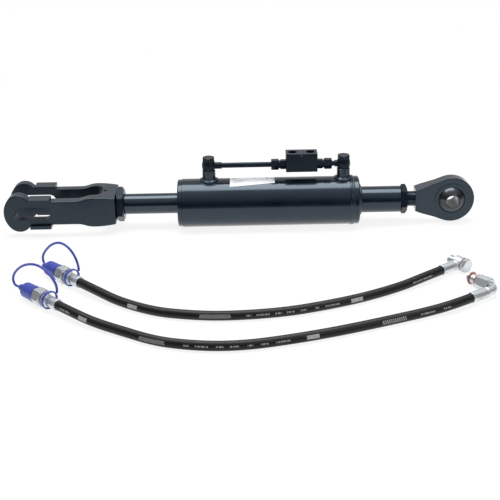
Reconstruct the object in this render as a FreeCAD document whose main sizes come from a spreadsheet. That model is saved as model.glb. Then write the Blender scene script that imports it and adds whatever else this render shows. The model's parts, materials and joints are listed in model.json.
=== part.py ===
import FreeCAD, Part
import math
import os
import re
import Sketcher

# Hydraulic lift arm, millimetres. The origin is the centre of the ball in the eye, +X runs along the
# arm away from the fork, +Y runs away from the viewer and +Z is up. The barrel lies on the floor.

Vector = FreeCAD.Vector
Rotation = FreeCAD.Rotation
Placement = FreeCAD.Placement

sizes = {
    # chain of lengths from the ball to the fork
    "eye_reach": 70,
    "thread_show": 16,
    "eye_nut_thickness": 13,
    "neck_tube_length": 80,
    "barrel_length": 349,
    "rod_show": 103.5,
    "fork_nut_thickness": 15.5,
    "fork_length": 212,
    # fits
    "fit_gap": 0.05,
    "run_gap": 0.3,
    # barrel and its ends
    "bore_radius": 40,
    "barrel_wall": 7,
    "gland_flange": 9,
    "gland_step": 1.2,
    "gland_length": 45,
    "gland_nose_length": 15,
    "gland_nose_radius": 35,
    "rod_radius": 20,
    "wiper_depth": 7,
    "wiper_width": 6,
    "wiper_proud": 1.5,
    "rod_seal_place": 16,
    "rod_seal_length": 7,
    "rod_seal_depth": 5,
    "rod_bush_place": 30,
    "rod_bush_length": 20,
    "rod_bush_depth": 3,
    "static_seal_place": 33,
    "static_seal_length": 5,
    "static_seal_depth": 2.5,
    "cap_spigot": 7,
    "cap_flange": 18,
    "cap_step": 0.4,
    "cap_chamfer": 2,
    "bead_width": 5,
    "bead_height": 1.4,
    "neck_socket_depth": 6,
    "neck_weld": 5.5,
    "port_hole_radius": 5,
    "rod_port_place": 61,
    "base_port_place": 30,
    # piston, seen from the rod end
    "piston_place": 179,
    "piston_length": 34,
    "piston_gap": 0.35,
    "piston_chamfer": 2,
    "guide_groove": 6,
    "guide_depth": 3.5,
    "guide_edge": 3,
    "seal_groove": 8,
    "seal_depth": 6,
    "piston_nut_length": 16,
    "piston_nut_flats": 36,
    "spigot_radius": 12,
    "spigot_proud": 2,
    # rod end and fork
    "rod_thread_radius": 18,
    "rod_end_gap": 3,
    "fork_nut_flats": 60,
    "fork_width": 90,
    "fork_gap": 50,
    "fork_gap_corner": 14,
    "fork_web": 27,
    "fork_end_half": 37,
    "fork_end_place": 29,
    "fork_end_round": 24,
    "fork_neck_arc": 20,
    "fork_waist_half": 23.5,
    "fork_waist_end": 74,
    "fork_block_half": 29.2,
    "fork_block_place": 41,
    "fork_block_taper": 3,
    "fork_side_place": 38,
    "fork_side_taper": 3.5,
    "fork_edge_round": 3,
    "slot_half_width": 12.9,
    "slot_start": 20.5,
    "slot_length": 69.5,
    "rib_start": 50,
    "rib_length": 40,
    "rib_half": 29.5,
    "rib_height": 6.5,
    "rib_proud": 7,
    "set_screw_radius": 3.4,
    "set_screw_place": 21.5,
    "set_screw_depth": 12,
    # extension tube, eye and ball
    "neck_tube_radius": 25.5,
    "neck_tube_bore": 19,
    "bush_length": 34,
    "shank_radius": 15,
    "shank_length": 90,
    "eye_nut_flats": 50,
    "eye_radius": 44,
    "eye_thickness": 24,
    "neck_height": 41,
    "neck_thickness": 32,
    "neck_flat": 12,
    "neck_slope": 18,
    "lip_radius": 32.5,
    "lip_height": 1.5,
    "eye_edge_round": 2,
    "ball_radius": 29,
    "ball_width": 51,
    "pin_hole_radius": 12.85,
    # port fittings on the barrel
    "boss_radius": 12.8,
    "boss_rise": 19.2,
    "boss_flare_radius": 16.8,
    "boss_flare_slope": 2.3,
    "flare_rim_rise": 1,
    "flare_shoulder_rise": 3,
    "flare_rise": 5.5,
    "washer_thickness": 1.3,
    "union_height": 15,
    "union_radius": 13.2,
    "union_end_radius": 11.8,
    "union_bore": 6.9,
    "union_groove_radius": 8.6,
    "union_groove_height": 8,
    "nipple_radius": 6.5,
    "rod_nipple_reach": 25,
    "base_nipple_reach": 17,
    "nipple_socket": 6,
    "small_thread_radius": 6.58,
    "bolt_head": 8.2,
    "bolt_flats": 22,
    "bolt_grip": 10,
    "bolt_bore": 3.2,
    "pipe_radius": 5,
    "pipe_wall": 1.5,
    # valve
    "block_length": 60,
    "block_width": 30,
    "block_drop": 11.5,
    "block_height": 35.5,
    "block_place": 110.5,
    "valve_bore": 5.6,
    "stud_length": 8,
    "port_radius": 7.625,
    "port_spacing": 34,
    "port_depth": 14,
    "port_chamfer": 0.9,
    "drill_radius": 2.5,
    "drill_spacing": 25,
    "cross_hole_radius": 3.1,
    "cross_hole_rise": 19,
    "seat_start": 15,
    "seat_length": 3,
    "seat_hole": 2.6,
    "pilot_half": 5,
    "pilot_pin_reach": 14,
    "pilot_pin_radius": 1.5,
    "poppet_start": 16.3,
    "poppet_cone": 3,
    "poppet_tip": 2.3,
    "poppet_radius": 4.4,
    "poppet_rim": 1,
    "poppet_stem": 3.5,
    "poppet_stem_radius": 1.4,
    "check_spring_length": 8.2,
    "check_spring_radius": 3.3,
    "check_wire_radius": 0.5,
    "check_turns": 3.5,
    # pipe adapters
    "adapter_hex": 10.6,
    "adapter_flats": 17,
    "adapter_thread_radius": 7.9,
    "adapter_length": 21,
    "adapter_counterbore": 5,
    "adapter_passage": 3.5,
    "pipe_seat": 12,
    "nut_start": 13.2,
    "nut_length": 14.8,
    "nut_flats": 19,
    "nut_thread": 9,
    # hoses on the floor
    "hose_radius": 8,
    "hose_lift": 0.1,
    "ferrule_radius": 11,
    "ferrule_waist": 0.5,
    "ferrule_bore": 6,
    "ferrule_collar": 4,
    "coupler_ferrule": 36,
    "upper_ferrule": 35,
    "lower_ferrule": 37,
    # couplers, measured from the middle of the cap's knob
    "nose_start": 17,
    "nose_radius": 11.85,
    "nose_chamfer": 2.3,
    "ball_groove_step": 9,
    "ball_groove_width": 7,
    "ball_groove_depth": 2,
    "coupler_hex_start": 46.5,
    "coupler_hex_length": 19.5,
    "coupler_flats": 27,
    "coupler_length": 104,
    "coupler_bore": 7.6,
    "coupler_mouth": 5,
    "coupler_seat": 2,
    "coupler_lip": 3.7,
    "coupler_bore_end": 45,
    "coupler_passage": 4,
    "stop_sink": 1,
    "stop_pin_radius": 3.5,
    "stop_cone": 3.2,
    "stop_radius": 7.2,
    "stop_skirt": 5.5,
    "stop_wire_radius": 0.6,
    "stop_turns": 4.5,
    # dust caps
    "cap_knob_radius": 5.5,
    "cap_neck_radius": 3.7,
    "cap_back": 11.3,
    "cap_shoulder": 16.5,
    "cap_mouth": 45,
    "cap_radius": 14,
    "cap_shoulder_radius": 13.2,
    "cap_crown_radius": 9.8,
    "cap_crown_round": 5.2,
    "cap_rim": 4,
    "cap_rim_step": 0.4,
    "ring_place": 80,
    "ring_lift": 2.05,
    "ring_radius": 15.9,
    "ring_bore": 13.4,
    "ring_tilt": 5,
    "ring_width": 5,
    "strap_radius": 2.2,
    # banjo end of the upper hose
    "banjo_reach": 48,
    "banjo_radius": 12,
    "banjo_thickness": 16,
    "banjo_neck_radius": 7.5,
    "large_thread_radius": 8.33,
    "banjo_head": 9,
    "banjo_flats": 22,
    "banjo_thread": 14,
    "banjo_relief": 0.35,
    "banjo_undercut": 1,
    "banjo_bore": 5,
    "copper_thickness": 1.5,
    "copper_radius": 11.2,
    "end_level": 12.2,
    # elbow end of the lower hose
    "elbow_reach": 58,
    "elbow_bend": 11,
    "elbow_radius": 7.5,
    "elbow_bore": 4.5,
    "elbow_leg": 15,
    "elbow_collar_radius": 9.5,
    "elbow_collar": 4,
    "swivel_start": 12,
    "swivel_length": 16,
    "swivel_flats": 24,
    "stud_hex_start": 28.5,
    "stud_hex_length": 11,
    "stud_thread": 19.5,
    "loose_washer_gap": 12,
}

doc = FreeCAD.newDocument("lift_arm")
sheet = doc.addObject("Spreadsheet::Sheet", "sizes")
for row, (alias, amount) in enumerate(sizes.items(), 1):
    sheet.set(f"A{row}", alias)
    sheet.set(f"B{row}", str(amount))
    sheet.setAlias(f"B{row}", alias)
doc.recompute()

# Places along the arm, as sums of the driving sizes
eye_nut_right = "(-eye_reach - thread_show)"
eye_nut_left = f"({eye_nut_right} - eye_nut_thickness)"
base_right = f"({eye_nut_left} - neck_tube_length)"
barrel_left = f"({base_right} - barrel_length)"
fork_nut_right = f"({barrel_left} - rod_show)"
fork_right = f"({fork_nut_right} - fork_nut_thickness)"
fork_left = f"({fork_right} - fork_length)"
tube_left = f"({barrel_left} + gland_flange)"
tube_right = f"({base_right} - cap_flange)"
barrel_radius = "(bore_radius + barrel_wall)"
piston_left = f"({barrel_left} + piston_place)"
piston_right = f"({piston_left} + piston_length)"
piston_nut_right = f"({piston_right} + piston_nut_length)"
rod_port = f"({barrel_left} + rod_port_place)"
base_port = f"({base_right} - base_port_place)"
block_middle = f"({base_right} - block_place)"
boss_top = f"({barrel_radius} + boss_rise)"
union_bottom = f"({boss_top} + washer_thickness)"
union_top = f"({union_bottom} + union_height)"
bolt_seat = f"({union_top} + washer_thickness)"
pipe_height = f"({union_bottom} + union_height / 2)"
block_bottom = f"({pipe_height} - block_drop)"
block_top = f"({block_bottom} + block_height)"
gap_end = f"({fork_right} - fork_web)"
stop_tip = "(nose_start + stop_sink)"
stop_shoulder = f"({stop_tip} + coupler_lip - stop_sink)"
stop_end = f"({stop_shoulder} + stop_cone + stop_skirt)"

# A spring's wire is bent from this many straight runs in each turn, mitred where they meet
runs_in_a_turn = 16
mitred = 1

nodes = {}


def bind(text):
    """Points every size named in an expression at the sheet."""
    return re.sub(r"[A-Za-z_]\w*", lambda word: "sizes." + word[0] if word[0] in sizes else word[0], str(text))


def number(text):
    """Present value of an expression."""
    return float(sheet.evalExpression(str(text)))


def keep(label, piece, place=None):
    """Files a finished piece under the name of its node."""
    piece.Label = label
    if place is not None:
        piece.Placement = place
    nodes[label] = piece
    return piece


def new_body(label):
    return doc.addObject("PartDesign::Body", label)


def new_sketch(body, plane_role, offset="0"):
    sketch = body.newObject("Sketcher::SketchObject", body.Name + "_sketch")
    plane = next(item for item in body.Origin.OriginFeatures if item.Role == plane_role)
    sketch.AttachmentSupport = [(plane, "")]
    sketch.MapMode = "FlatFace"
    if offset != "0":
        sketch.AttachmentOffset = Placement(Vector(0, 0, number(offset)), Rotation())
        sketch.setExpression(".AttachmentOffset.Base.z", bind(offset))
    return sketch


def draw_outline(sketch, corners):
    """Closed outline. A corner is (x, y), or (x, y, radius) where an arc runs on to the next corner,
    turning left for a positive radius and right for a negative one."""
    places = [Vector(number(corner[0]), number(corner[1]), 0) for corner in corners]
    rules = []
    named = []
    ends = []
    for index, corner in enumerate(corners):
        start, stop = places[index], places[(index + 1) % len(corners)]
        if len(corner) == 2:
            edge = sketch.addGeometry(Part.LineSegment(start, stop))
            ends.append((edge, 1, 2))
            continue
        radius = abs(number(corner[2]))
        left = number(corner[2]) > 0
        chord = stop - start
        height = math.sqrt(max(radius ** 2 - (chord.Length / 2) ** 2, 0))
        across = Vector(-chord.y, chord.x, 0).normalize()
        centre = (start + stop) * 0.5 + across * (height if left else -height)
        first, last = (start, stop) if left else (stop, start)
        begin = math.atan2(first.y - centre.y, first.x - centre.x)
        end = math.atan2(last.y - centre.y, last.x - centre.x)
        circle = Part.Circle(centre, Vector(0, 0, 1), radius)
        edge = sketch.addGeometry(Part.ArcOfCircle(circle, begin, end if end > begin else end + 2 * math.pi))
        ends.append((edge, 1, 2) if left else (edge, 2, 1))
        named.append((len(rules), f"arc{edge}", f"abs({corner[2]})"))
        rules.append(Sketcher.Constraint("Radius", edge, radius))
    for index, (edge, start, stop) in enumerate(ends):
        after = ends[(index + 1) % len(ends)]
        rules.append(Sketcher.Constraint("Coincident", edge, stop, after[0], after[1]))
        for kind, amount, text, axis in (("DistanceX", places[index].x, corners[index][0], -2),
                                         ("DistanceY", places[index].y, corners[index][1], -1)):
            if str(text) == "0":
                rules.append(Sketcher.Constraint("PointOnObject", edge, start, axis))
            else:
                named.append((len(rules), f"{kind}{edge}", text))
                rules.append(Sketcher.Constraint(kind, -1, 1, edge, start, amount))
    base = sketch.ConstraintCount
    sketch.addConstraint(rules)
    for index, name, text in named:
        sketch.renameConstraint(base + index, name)
        sketch.setExpression("Constraints." + name, bind(text))


def draw_circle(sketch, x, y, radius):
    edge = sketch.addGeometry(Part.Circle(Vector(number(x), number(y), 0), Vector(0, 0, 1), number(radius)))
    rules = [Sketcher.Constraint("Radius", edge, number(radius))]
    named = [(0, f"radius{edge}", radius)]
    for kind, text, axis in (("DistanceX", x, -2), ("DistanceY", y, -1)):
        if str(text) == "0":
            rules.append(Sketcher.Constraint("PointOnObject", edge, 3, axis))
        else:
            named.append((len(rules), f"{kind}{edge}", text))
            rules.append(Sketcher.Constraint(kind, -1, 1, edge, 3, number(text)))
    base = sketch.ConstraintCount
    sketch.addConstraint(rules)
    for index, name, text in named:
        sketch.renameConstraint(base + index, name)
        sketch.setExpression("Constraints." + name, bind(text))


def turn_outline(body, corners, kind="Revolution"):
    """Solid of revolution, or a groove, about the body's own X axis."""
    sketch = new_sketch(body, "XY_Plane")
    draw_outline(sketch, corners)
    feature = body.newObject("PartDesign::" + kind, body.Name + "_turned")
    feature.Profile = sketch
    feature.ReferenceAxis = (sketch, ["H_Axis"])
    feature.Angle = 360
    return feature


def turned(label, corners, place=None):
    body = new_body(label)
    turn_outline(body, corners)
    return keep(label, body, place)


def extrude(body, sketch, length, kind="Pad", middle=False, backwards=False):
    """Pad, or pocket, of a sketch along its normal."""
    feature = body.newObject("PartDesign::" + kind, body.Name + "_" + kind.lower())
    feature.Profile = sketch
    feature.SideType = "Symmetric" if middle else "One side"
    feature.Reversed = backwards
    feature.Length = number(length)
    feature.setExpression("Length", bind(length))
    return feature


def cut_flats(body, start, length, flats):
    """Cuts the six flats of a hexagon, across the X axis, into a turned blank."""
    sketch = new_sketch(body, "YZ_Plane", start)
    draw_circle(sketch, "0", "0", f"{flats} * 2")
    corner = f"{flats} / 2 / cos(30)"
    draw_outline(sketch, [(f"{corner} * cos({60 * i})", f"{corner} * sin({60 * i})") for i in range(6)])
    return extrude(body, sketch, length, "Pocket", backwards=True)


def round_hole(body, plane_role, x, y, radius, length, offset="0", middle=False, backwards=False):
    sketch = new_sketch(body, plane_role, offset)
    draw_circle(sketch, x, y, radius)
    return extrude(body, sketch, length, "Pocket", middle, backwards)


def round_edges(body, edges, radius):
    before = body.Tip
    feature = body.newObject("PartDesign::Fillet", body.Name + "_rounded")
    feature.Base = (before, edges)
    feature.Radius = number(radius)
    feature.setExpression("Radius", bind(radius))
    return feature


def hex_nut(label, start, length, flats, bore, place=None):
    """Hexagon nut with both rims chamfered at 30 degrees."""
    corner = f"({flats} / 2 / cos(30))"
    rim = f"({flats} * 0.475)"
    bevel = f"(({corner} - {rim}) * tan(30))"
    stop = f"({start} + {length})"
    body = new_body(label)
    turn_outline(body, [(start, bore), (start, rim), (f"{start} + {bevel}", corner),
                        (f"{stop} - {bevel}", corner), (stop, rim), (stop, bore)])
    cut_flats(body, start, length, flats)
    return keep(label, body, place)


def ring(start, stop, inner, outer):
    return [(start, inner), (stop, inner), (stop, outer), (start, outer)]


def grouped(label, pieces):
    """Separate solids that share one node."""
    group = doc.addObject("Part::Compound", label)
    group.Links = pieces
    for piece in pieces:
        nodes.pop(piece.Label, None)
    return keep(label, group)


def along(x, y, z, heading):
    """Frame whose X axis lies level at a heading in degrees."""
    return Placement(Vector(x, y, z), Rotation(Vector(0, 0, 1), heading))


def upright(x, toward):
    """Frame whose X axis points up and whose Z axis points towards +X or -X."""
    spin = Rotation(Vector(0, 0, 1), 180 if toward > 0 else 0)
    return Placement(Vector(number(x), 0, 0), spin.multiply(Rotation(Vector(0, 1, 0), -90)))


# Barrel with its ends


def make_barrel():
    body = new_body("barrel_tube")
    turn_outline(body, ring(tube_left, tube_right, "bore_radius", barrel_radius))
    for port in (rod_port, base_port):
        round_hole(body, "XY_Plane", port, "0", "port_hole_radius", f"{barrel_radius} + 1", backwards=True)
    keep("barrel_tube", body)


def make_base_cap():
    spigot = f"({tube_right} - cap_spigot)"
    bead = f"({tube_right} + bead_width)"
    flange = f"({barrel_radius} - cap_step)"
    socket = f"({base_right} - neck_socket_depth)"
    turned("base_cap", [
        (spigot, "0"), (spigot, "bore_radius - fit_gap"), (tube_right, "bore_radius - fit_gap"),
        (tube_right, barrel_radius, "-(bead_width ^ 2 / 4 + bead_height ^ 2) / (2 * bead_height)"),
        (bead, barrel_radius), (bead, flange), (f"{base_right} - cap_chamfer", flange),
        (base_right, f"{flange} - cap_chamfer"), (base_right, "neck_tube_radius + neck_weld"),
        (f"{base_right} + neck_weld", "neck_tube_radius + fit_gap"), (socket, "neck_tube_radius + fit_gap"),
        (socket, "0")])


def make_gland():
    face = f"({barrel_left} + gland_length)"
    nose = f"({face} + gland_nose_length)"
    flange = f"({barrel_radius} - gland_step)"
    bore = "(rod_radius + run_gap)"
    seat = "(bore_radius - fit_gap)"
    wiper = f"({barrel_left} + wiper_depth)"
    seal = f"({barrel_left} + rod_seal_place)"
    bush = f"({barrel_left} + rod_bush_place)"
    static = f"({barrel_left} + static_seal_place)"
    seal_stop = f"({seal} + rod_seal_length)"
    bush_stop = f"({bush} + rod_bush_length)"
    static_stop = f"({static} + static_seal_length)"
    turned("rod_gland", [
        (barrel_left, "rod_radius + wiper_width"), (barrel_left, f"{flange} - 1.5"),
        (f"{barrel_left} + 1.5", flange), (tube_left, flange), (tube_left, seat),
        (static, seat), (static, "bore_radius - static_seal_depth"),
        (static_stop, "bore_radius - static_seal_depth"), (static_stop, seat), (face, seat),
        (face, "gland_nose_radius"), (nose, "gland_nose_radius"), (nose, bore),
        (bush_stop, bore), (bush_stop, "rod_radius + rod_bush_depth"), (bush, "rod_radius + rod_bush_depth"),
        (bush, bore), (seal_stop, bore), (seal_stop, "rod_radius + rod_seal_depth"),
        (seal, "rod_radius + rod_seal_depth"), (seal, bore), (wiper, bore),
        (wiper, "rod_radius + wiper_width")])
    slack = "rod_radius + fit_gap"
    turned("rod_wiper", [
        (f"{wiper} - fit_gap", slack), (f"{wiper} - fit_gap", "rod_radius + wiper_width - fit_gap"),
        (f"{barrel_left} - 0.3", "rod_radius + wiper_width - fit_gap"),
        (f"{barrel_left} - wiper_proud", "rod_radius + wiper_width * 0.45"),
        (f"{barrel_left} - wiper_proud", slack)])
    rod_seal = turned("rod_seal", ring(f"{seal} + fit_gap", f"{seal_stop} - fit_gap", slack,
                                       "rod_radius + rod_seal_depth - fit_gap"))
    static_seal = turned("static_seal", ring(f"{static} + fit_gap", f"{static_stop} - fit_gap",
                                             "bore_radius - static_seal_depth + fit_gap", seat))
    grouped("gland_seals", [rod_seal, static_seal])
    turned("rod_bush", ring(f"{bush} + fit_gap", f"{bush_stop} - fit_gap", slack,
                            "rod_radius + rod_bush_depth - fit_gap"))


# Piston, rod and fork


def make_piston():
    outer = "(bore_radius - piston_gap)"
    first = f"({piston_left} + guide_edge)"
    last = f"({piston_right} - guide_edge)"
    middle = f"(({piston_left} + {piston_right}) / 2)"
    turned("piston", [
        (piston_left, "spigot_radius + fit_gap"), (piston_left, f"{outer} - piston_chamfer"),
        (f"{piston_left} + piston_chamfer", outer), (first, outer), (first, "bore_radius - guide_depth"),
        (f"{first} + guide_groove", "bore_radius - guide_depth"), (f"{first} + guide_groove", outer),
        (f"{middle} - seal_groove / 2", outer), (f"{middle} - seal_groove / 2", "bore_radius - seal_depth"),
        (f"{middle} + seal_groove / 2", "bore_radius - seal_depth"), (f"{middle} + seal_groove / 2", outer),
        (f"{last} - guide_groove", outer), (f"{last} - guide_groove", "bore_radius - guide_depth"),
        (last, "bore_radius - guide_depth"), (last, outer), (f"{piston_right} - piston_chamfer", outer),
        (piston_right, f"{outer} - piston_chamfer"), (piston_right, "spigot_radius + fit_gap")])
    guides = [turned(f"piston_guide_{side}", ring(f"{start} + run_gap", f"{start} + guide_groove - run_gap",
                                                  "bore_radius - guide_depth + run_gap", "bore_radius - fit_gap"))
              for side, start in (("front", first), ("rear", f"{last} - guide_groove"))]
    grouped("piston_guides", guides)
    turned("piston_seal", ring(f"{middle} - seal_groove / 2 + run_gap", f"{middle} + seal_groove / 2 - run_gap",
                               "bore_radius - seal_depth + run_gap", "bore_radius - fit_gap"))
    hex_nut("piston_nut", piston_right, "piston_nut_length", "piston_nut_flats", "spigot_radius + fit_gap")


def make_rod():
    end = f"({gap_end} + rod_end_gap)"
    tip = f"({piston_nut_right} + spigot_proud)"
    turned("piston_rod", [
        (end, "0"), (end, "rod_thread_radius - 2"), (f"{end} + 2", "rod_thread_radius"),
        (fork_nut_right, "rod_thread_radius"), (fork_nut_right, "rod_radius"), (piston_left, "rod_radius"),
        (piston_left, "spigot_radius"), (f"{tip} - 1", "spigot_radius"), (tip, "spigot_radius - 1"), (tip, "0")])


def make_fork():
    body = new_body("fork")
    # round end: a flatter nose arc and two end rounds, all touching, then the neck arc down to the waist
    end_x = f"({fork_left} + fork_end_place)"
    end_z = "(fork_end_half - fork_end_round)"
    nose = f"((fork_end_place ^ 2 + {end_z} ^ 2 - fork_end_round ^ 2) / (2 * (fork_end_place - fork_end_round)))"
    nose_share = f"({nose} / ({nose} - fork_end_round))"
    nose_x = f"({fork_left} + {nose} + (fork_end_place - {nose}) * {nose_share})"
    nose_z = f"({end_z} * {nose_share})"
    neck_z = "(fork_waist_half + fork_neck_arc)"
    reach = f"sqrt((fork_end_round + fork_neck_arc) ^ 2 - ({neck_z} - {end_z}) ^ 2)"
    share = "(fork_end_round / (fork_end_round + fork_neck_arc))"
    neck_x = f"({end_x} + {reach} * {share})"
    neck_touch = f"({end_z} + ({neck_z} - {end_z}) * {share})"
    waist_end = f"({fork_right} - fork_waist_end)"
    block_x = f"({fork_right} - fork_block_place)"
    block_end = "(fork_block_half - fork_block_taper)"
    rise = "(fork_block_half - fork_waist_half)"
    run = "(fork_waist_end - fork_block_place)"
    swell = f"(({run} ^ 2 + {rise} ^ 2) / (4 * {rise}))"
    crown = "((fork_block_place ^ 2 + fork_block_taper ^ 2) / (2 * fork_block_taper))"
    middle = f"(({waist_end} + {block_x}) / 2)"
    side = new_sketch(body, "XZ_Plane")
    upper = [
        (neck_x, neck_touch, "fork_neck_arc"), (f"{end_x} + {reach}", "fork_waist_half"),
        (waist_end, "fork_waist_half", swell), (middle, f"fork_waist_half + {rise} / 2", f"-{swell}"),
        (block_x, "fork_block_half", f"-{crown}"), (fork_right, block_end)]
    # the lower half has the same corners in reverse, so each arc belongs to the corner before it
    lower = [
        (fork_right, f"-{block_end}", f"-{crown}"), (block_x, "-fork_block_half", f"-{swell}"),
        (middle, f"-fork_waist_half - {rise} / 2", swell), (waist_end, "-fork_waist_half"),
        (f"{end_x} + {reach}", "-fork_waist_half", "fork_neck_arc"), (neck_x, f"-{neck_touch}", "-fork_end_round"),
        (nose_x, f"-{nose_z}", f"-{nose}"), (fork_left, "0", f"-{nose}"), (nose_x, nose_z, "-fork_end_round")]
    draw_outline(side, upper + lower)
    extrude(body, side, "fork_width", middle=True)
    # both flanks of the block curve in towards the nut
    flanks = new_sketch(body, "XY_Plane")
    flank_x = f"({fork_right} - fork_side_place)"
    flank_arc = "((fork_side_place ^ 2 + fork_side_taper ^ 2) / (2 * fork_side_taper))"
    flank_y = "(fork_width / 2)"
    draw_outline(flanks, [(flank_x, flank_y, f"-{flank_arc}"), (fork_right, f"{flank_y} - fork_side_taper"),
                          (fork_right, f"{flank_y} + 5"), (flank_x, f"{flank_y} + 5")])
    draw_outline(flanks, [(flank_x, f"-{flank_y}", flank_arc), (fork_right, f"fork_side_taper - {flank_y}"),
                          (fork_right, f"-{flank_y} - 5"), (flank_x, f"-{flank_y} - 5")])
    extrude(body, flanks, "fork_end_half * 3", "Pocket", middle=True)
    doc.recompute()
    round_edges(body, outline_edges(body.Tip.Shape, number("fork_width") / 2), "fork_edge_round")
    # ribs along the top and bottom of each ear, which hold a square pin plate level with the slot
    rib_left = f"({fork_left} + rib_start)"
    rib_right = f"({rib_left} + rib_length)"
    ribs = new_sketch(body, "XZ_Plane")
    for sign in ("", "-"):
        inner = f"{sign}(rib_half - rib_height)"
        draw_outline(ribs, [(rib_left, inner), (rib_right, inner), (rib_right, f"{sign}rib_half"),
                            (rib_left, f"{sign}rib_half")])
    extrude(body, ribs, "fork_width + 2 * rib_proud", middle=True)
    gap = new_sketch(body, "XY_Plane")
    side_wall = "(fork_gap / 2)"
    draw_outline(gap, [
        (f"{fork_left} - 20", f"-{side_wall}"),
        (f"{gap_end} - fork_gap_corner", f"-{side_wall}", "fork_gap_corner"),
        (gap_end, f"-{side_wall} + fork_gap_corner"), (gap_end, f"{side_wall} - fork_gap_corner", "fork_gap_corner"),
        (f"{gap_end} - fork_gap_corner", side_wall), (f"{fork_left} - 20", side_wall)])
    extrude(body, gap, "fork_end_half * 3", "Pocket", middle=True)
    slot = new_sketch(body, "XZ_Plane")
    slot_left = f"({fork_left} + slot_start + slot_half_width)"
    slot_right = f"({fork_left} + slot_start + slot_length - slot_half_width)"
    draw_outline(slot, [
        (slot_left, "-slot_half_width"), (slot_right, "-slot_half_width", "slot_half_width"),
        (f"{slot_right} + slot_half_width", "0", "slot_half_width"), (slot_right, "slot_half_width"),
        (slot_left, "slot_half_width", "slot_half_width"), (f"{slot_left} - slot_half_width", "0", "slot_half_width")])
    extrude(body, slot, "fork_width * 2", "Pocket", middle=True)
    round_hole(body, "YZ_Plane", "0", "0", "rod_thread_radius + fit_gap", "fork_web + 10",
               offset=f"{gap_end} - 5", backwards=True)
    round_hole(body, "XY_Plane", f"{fork_right} - set_screw_place", "0", "set_screw_radius",
               "set_screw_depth", offset="fork_block_half + 1")
    keep("fork", body)
    hex_nut("fork_lock_nut", f"({fork_right} + run_gap)", "(fork_nut_thickness - 2 * run_gap)",
            "fork_nut_flats", "rod_thread_radius + run_gap",
            Placement(Vector(), Rotation(Vector(1, 0, 0), fork_nut_spin)))


def outline_edges(shape, half_width):
    """Edges round the outline of both cheeks, all but the two upright ones at the nut."""
    chosen = []
    for index, edge in enumerate(shape.Edges, 1):
        box = edge.BoundBox
        if box.YLength < 0.01 and abs(abs(box.Center.y) - half_width) < 0.01 and box.XLength > 1:
            chosen.append(f"Edge{index}")
    return chosen


# Extension tube, eye and ball


def make_neck():
    turned("extension_tube", ring(f"{base_right} - neck_socket_depth + fit_gap", eye_nut_left,
                                  "neck_tube_bore", "neck_tube_radius"))
    turned("thread_bush", ring(f"{eye_nut_left} - bush_length", eye_nut_left, "shank_radius + run_gap",
                               "neck_tube_bore - fit_gap"))
    hex_nut("eye_lock_nut", f"({eye_nut_left} + run_gap)", "(eye_nut_thickness - run_gap)",
            "eye_nut_flats", "shank_radius + run_gap",
            Placement(Vector(), Rotation(Vector(1, 0, 0), eye_nut_spin)))


def make_eye():
    body = new_body("eye")
    # straight flanks of the neck run tangent to the round head
    half = "(neck_height / 2)"
    corner = f"sqrt(eye_reach ^ 2 + {half} ^ 2)"
    angle = f"(180 deg - atan({half} / eye_reach) - acos(eye_radius / {corner}))"
    touch_x = f"(eye_radius * cos({angle}))"
    touch_z = f"(eye_radius * sin({angle}))"
    side = new_sketch(body, "XZ_Plane")
    draw_outline(side, [
        ("-eye_reach", f"-{half}"), (touch_x, f"-{touch_z}", "eye_radius"), ("eye_radius", "0", "eye_radius"),
        (touch_x, touch_z), ("-eye_reach", half)])
    extrude(body, side, "neck_thickness", middle=True)
    slopes = new_sketch(body, "XY_Plane")
    for sign in ("", "-"):
        wide, narrow = f"{sign}neck_thickness / 2", f"{sign}eye_thickness / 2"
        start, stop = "(-eye_reach + neck_flat)", "(-eye_reach + neck_flat + neck_slope)"
        draw_outline(slopes, [(start, wide), (stop, narrow), ("eye_radius + 5", narrow),
                              ("eye_radius + 5", f"{sign}neck_thickness"), (start, f"{sign}neck_thickness")])
    extrude(body, slopes, "eye_radius * 3", "Pocket", middle=True)
    lips = new_sketch(body, "XZ_Plane")
    draw_circle(lips, "0", "0", "lip_radius")
    extrude(body, lips, "eye_thickness + 2 * lip_height", middle=True)
    tip = "(-eye_reach - shank_length)"
    turn_outline(body, [(tip, "0"), (tip, "shank_radius - 1.5"), (f"{tip} + 1.5", "shank_radius"),
                        ("-eye_reach + 8", "shank_radius"), ("-eye_reach + 8", "0")])
    seat = body.newObject("PartDesign::SubtractiveSphere", "eye_seat")
    seat.Radius = number("ball_radius + run_gap")
    seat.setExpression("Radius", bind("ball_radius + run_gap"))
    doc.recompute()
    head = [f"Edge{index}" for index, edge in enumerate(body.Tip.Shape.Edges, 1)
            if edge.BoundBox.YLength < 0.01 and abs(abs(edge.BoundBox.Center.y) - number("eye_thickness") / 2) < 0.01
            and isinstance(edge.Curve, Part.Circle) and abs(edge.Curve.Radius - number("eye_radius")) < 0.01]
    round_edges(body, head, "eye_edge_round")
    keep("eye", body)


def make_ball():
    half = "(ball_width / 2)"
    rim = f"sqrt(ball_radius ^ 2 - {half} ^ 2)"
    turned("ball", [(f"-{half}", "pin_hole_radius"), (half, "pin_hole_radius"), (half, rim, "ball_radius"),
                    (f"-{half}", rim)], Placement(Vector(), Rotation(Vector(0, 0, 1), 90)))


# Fittings on top of the barrel


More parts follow.
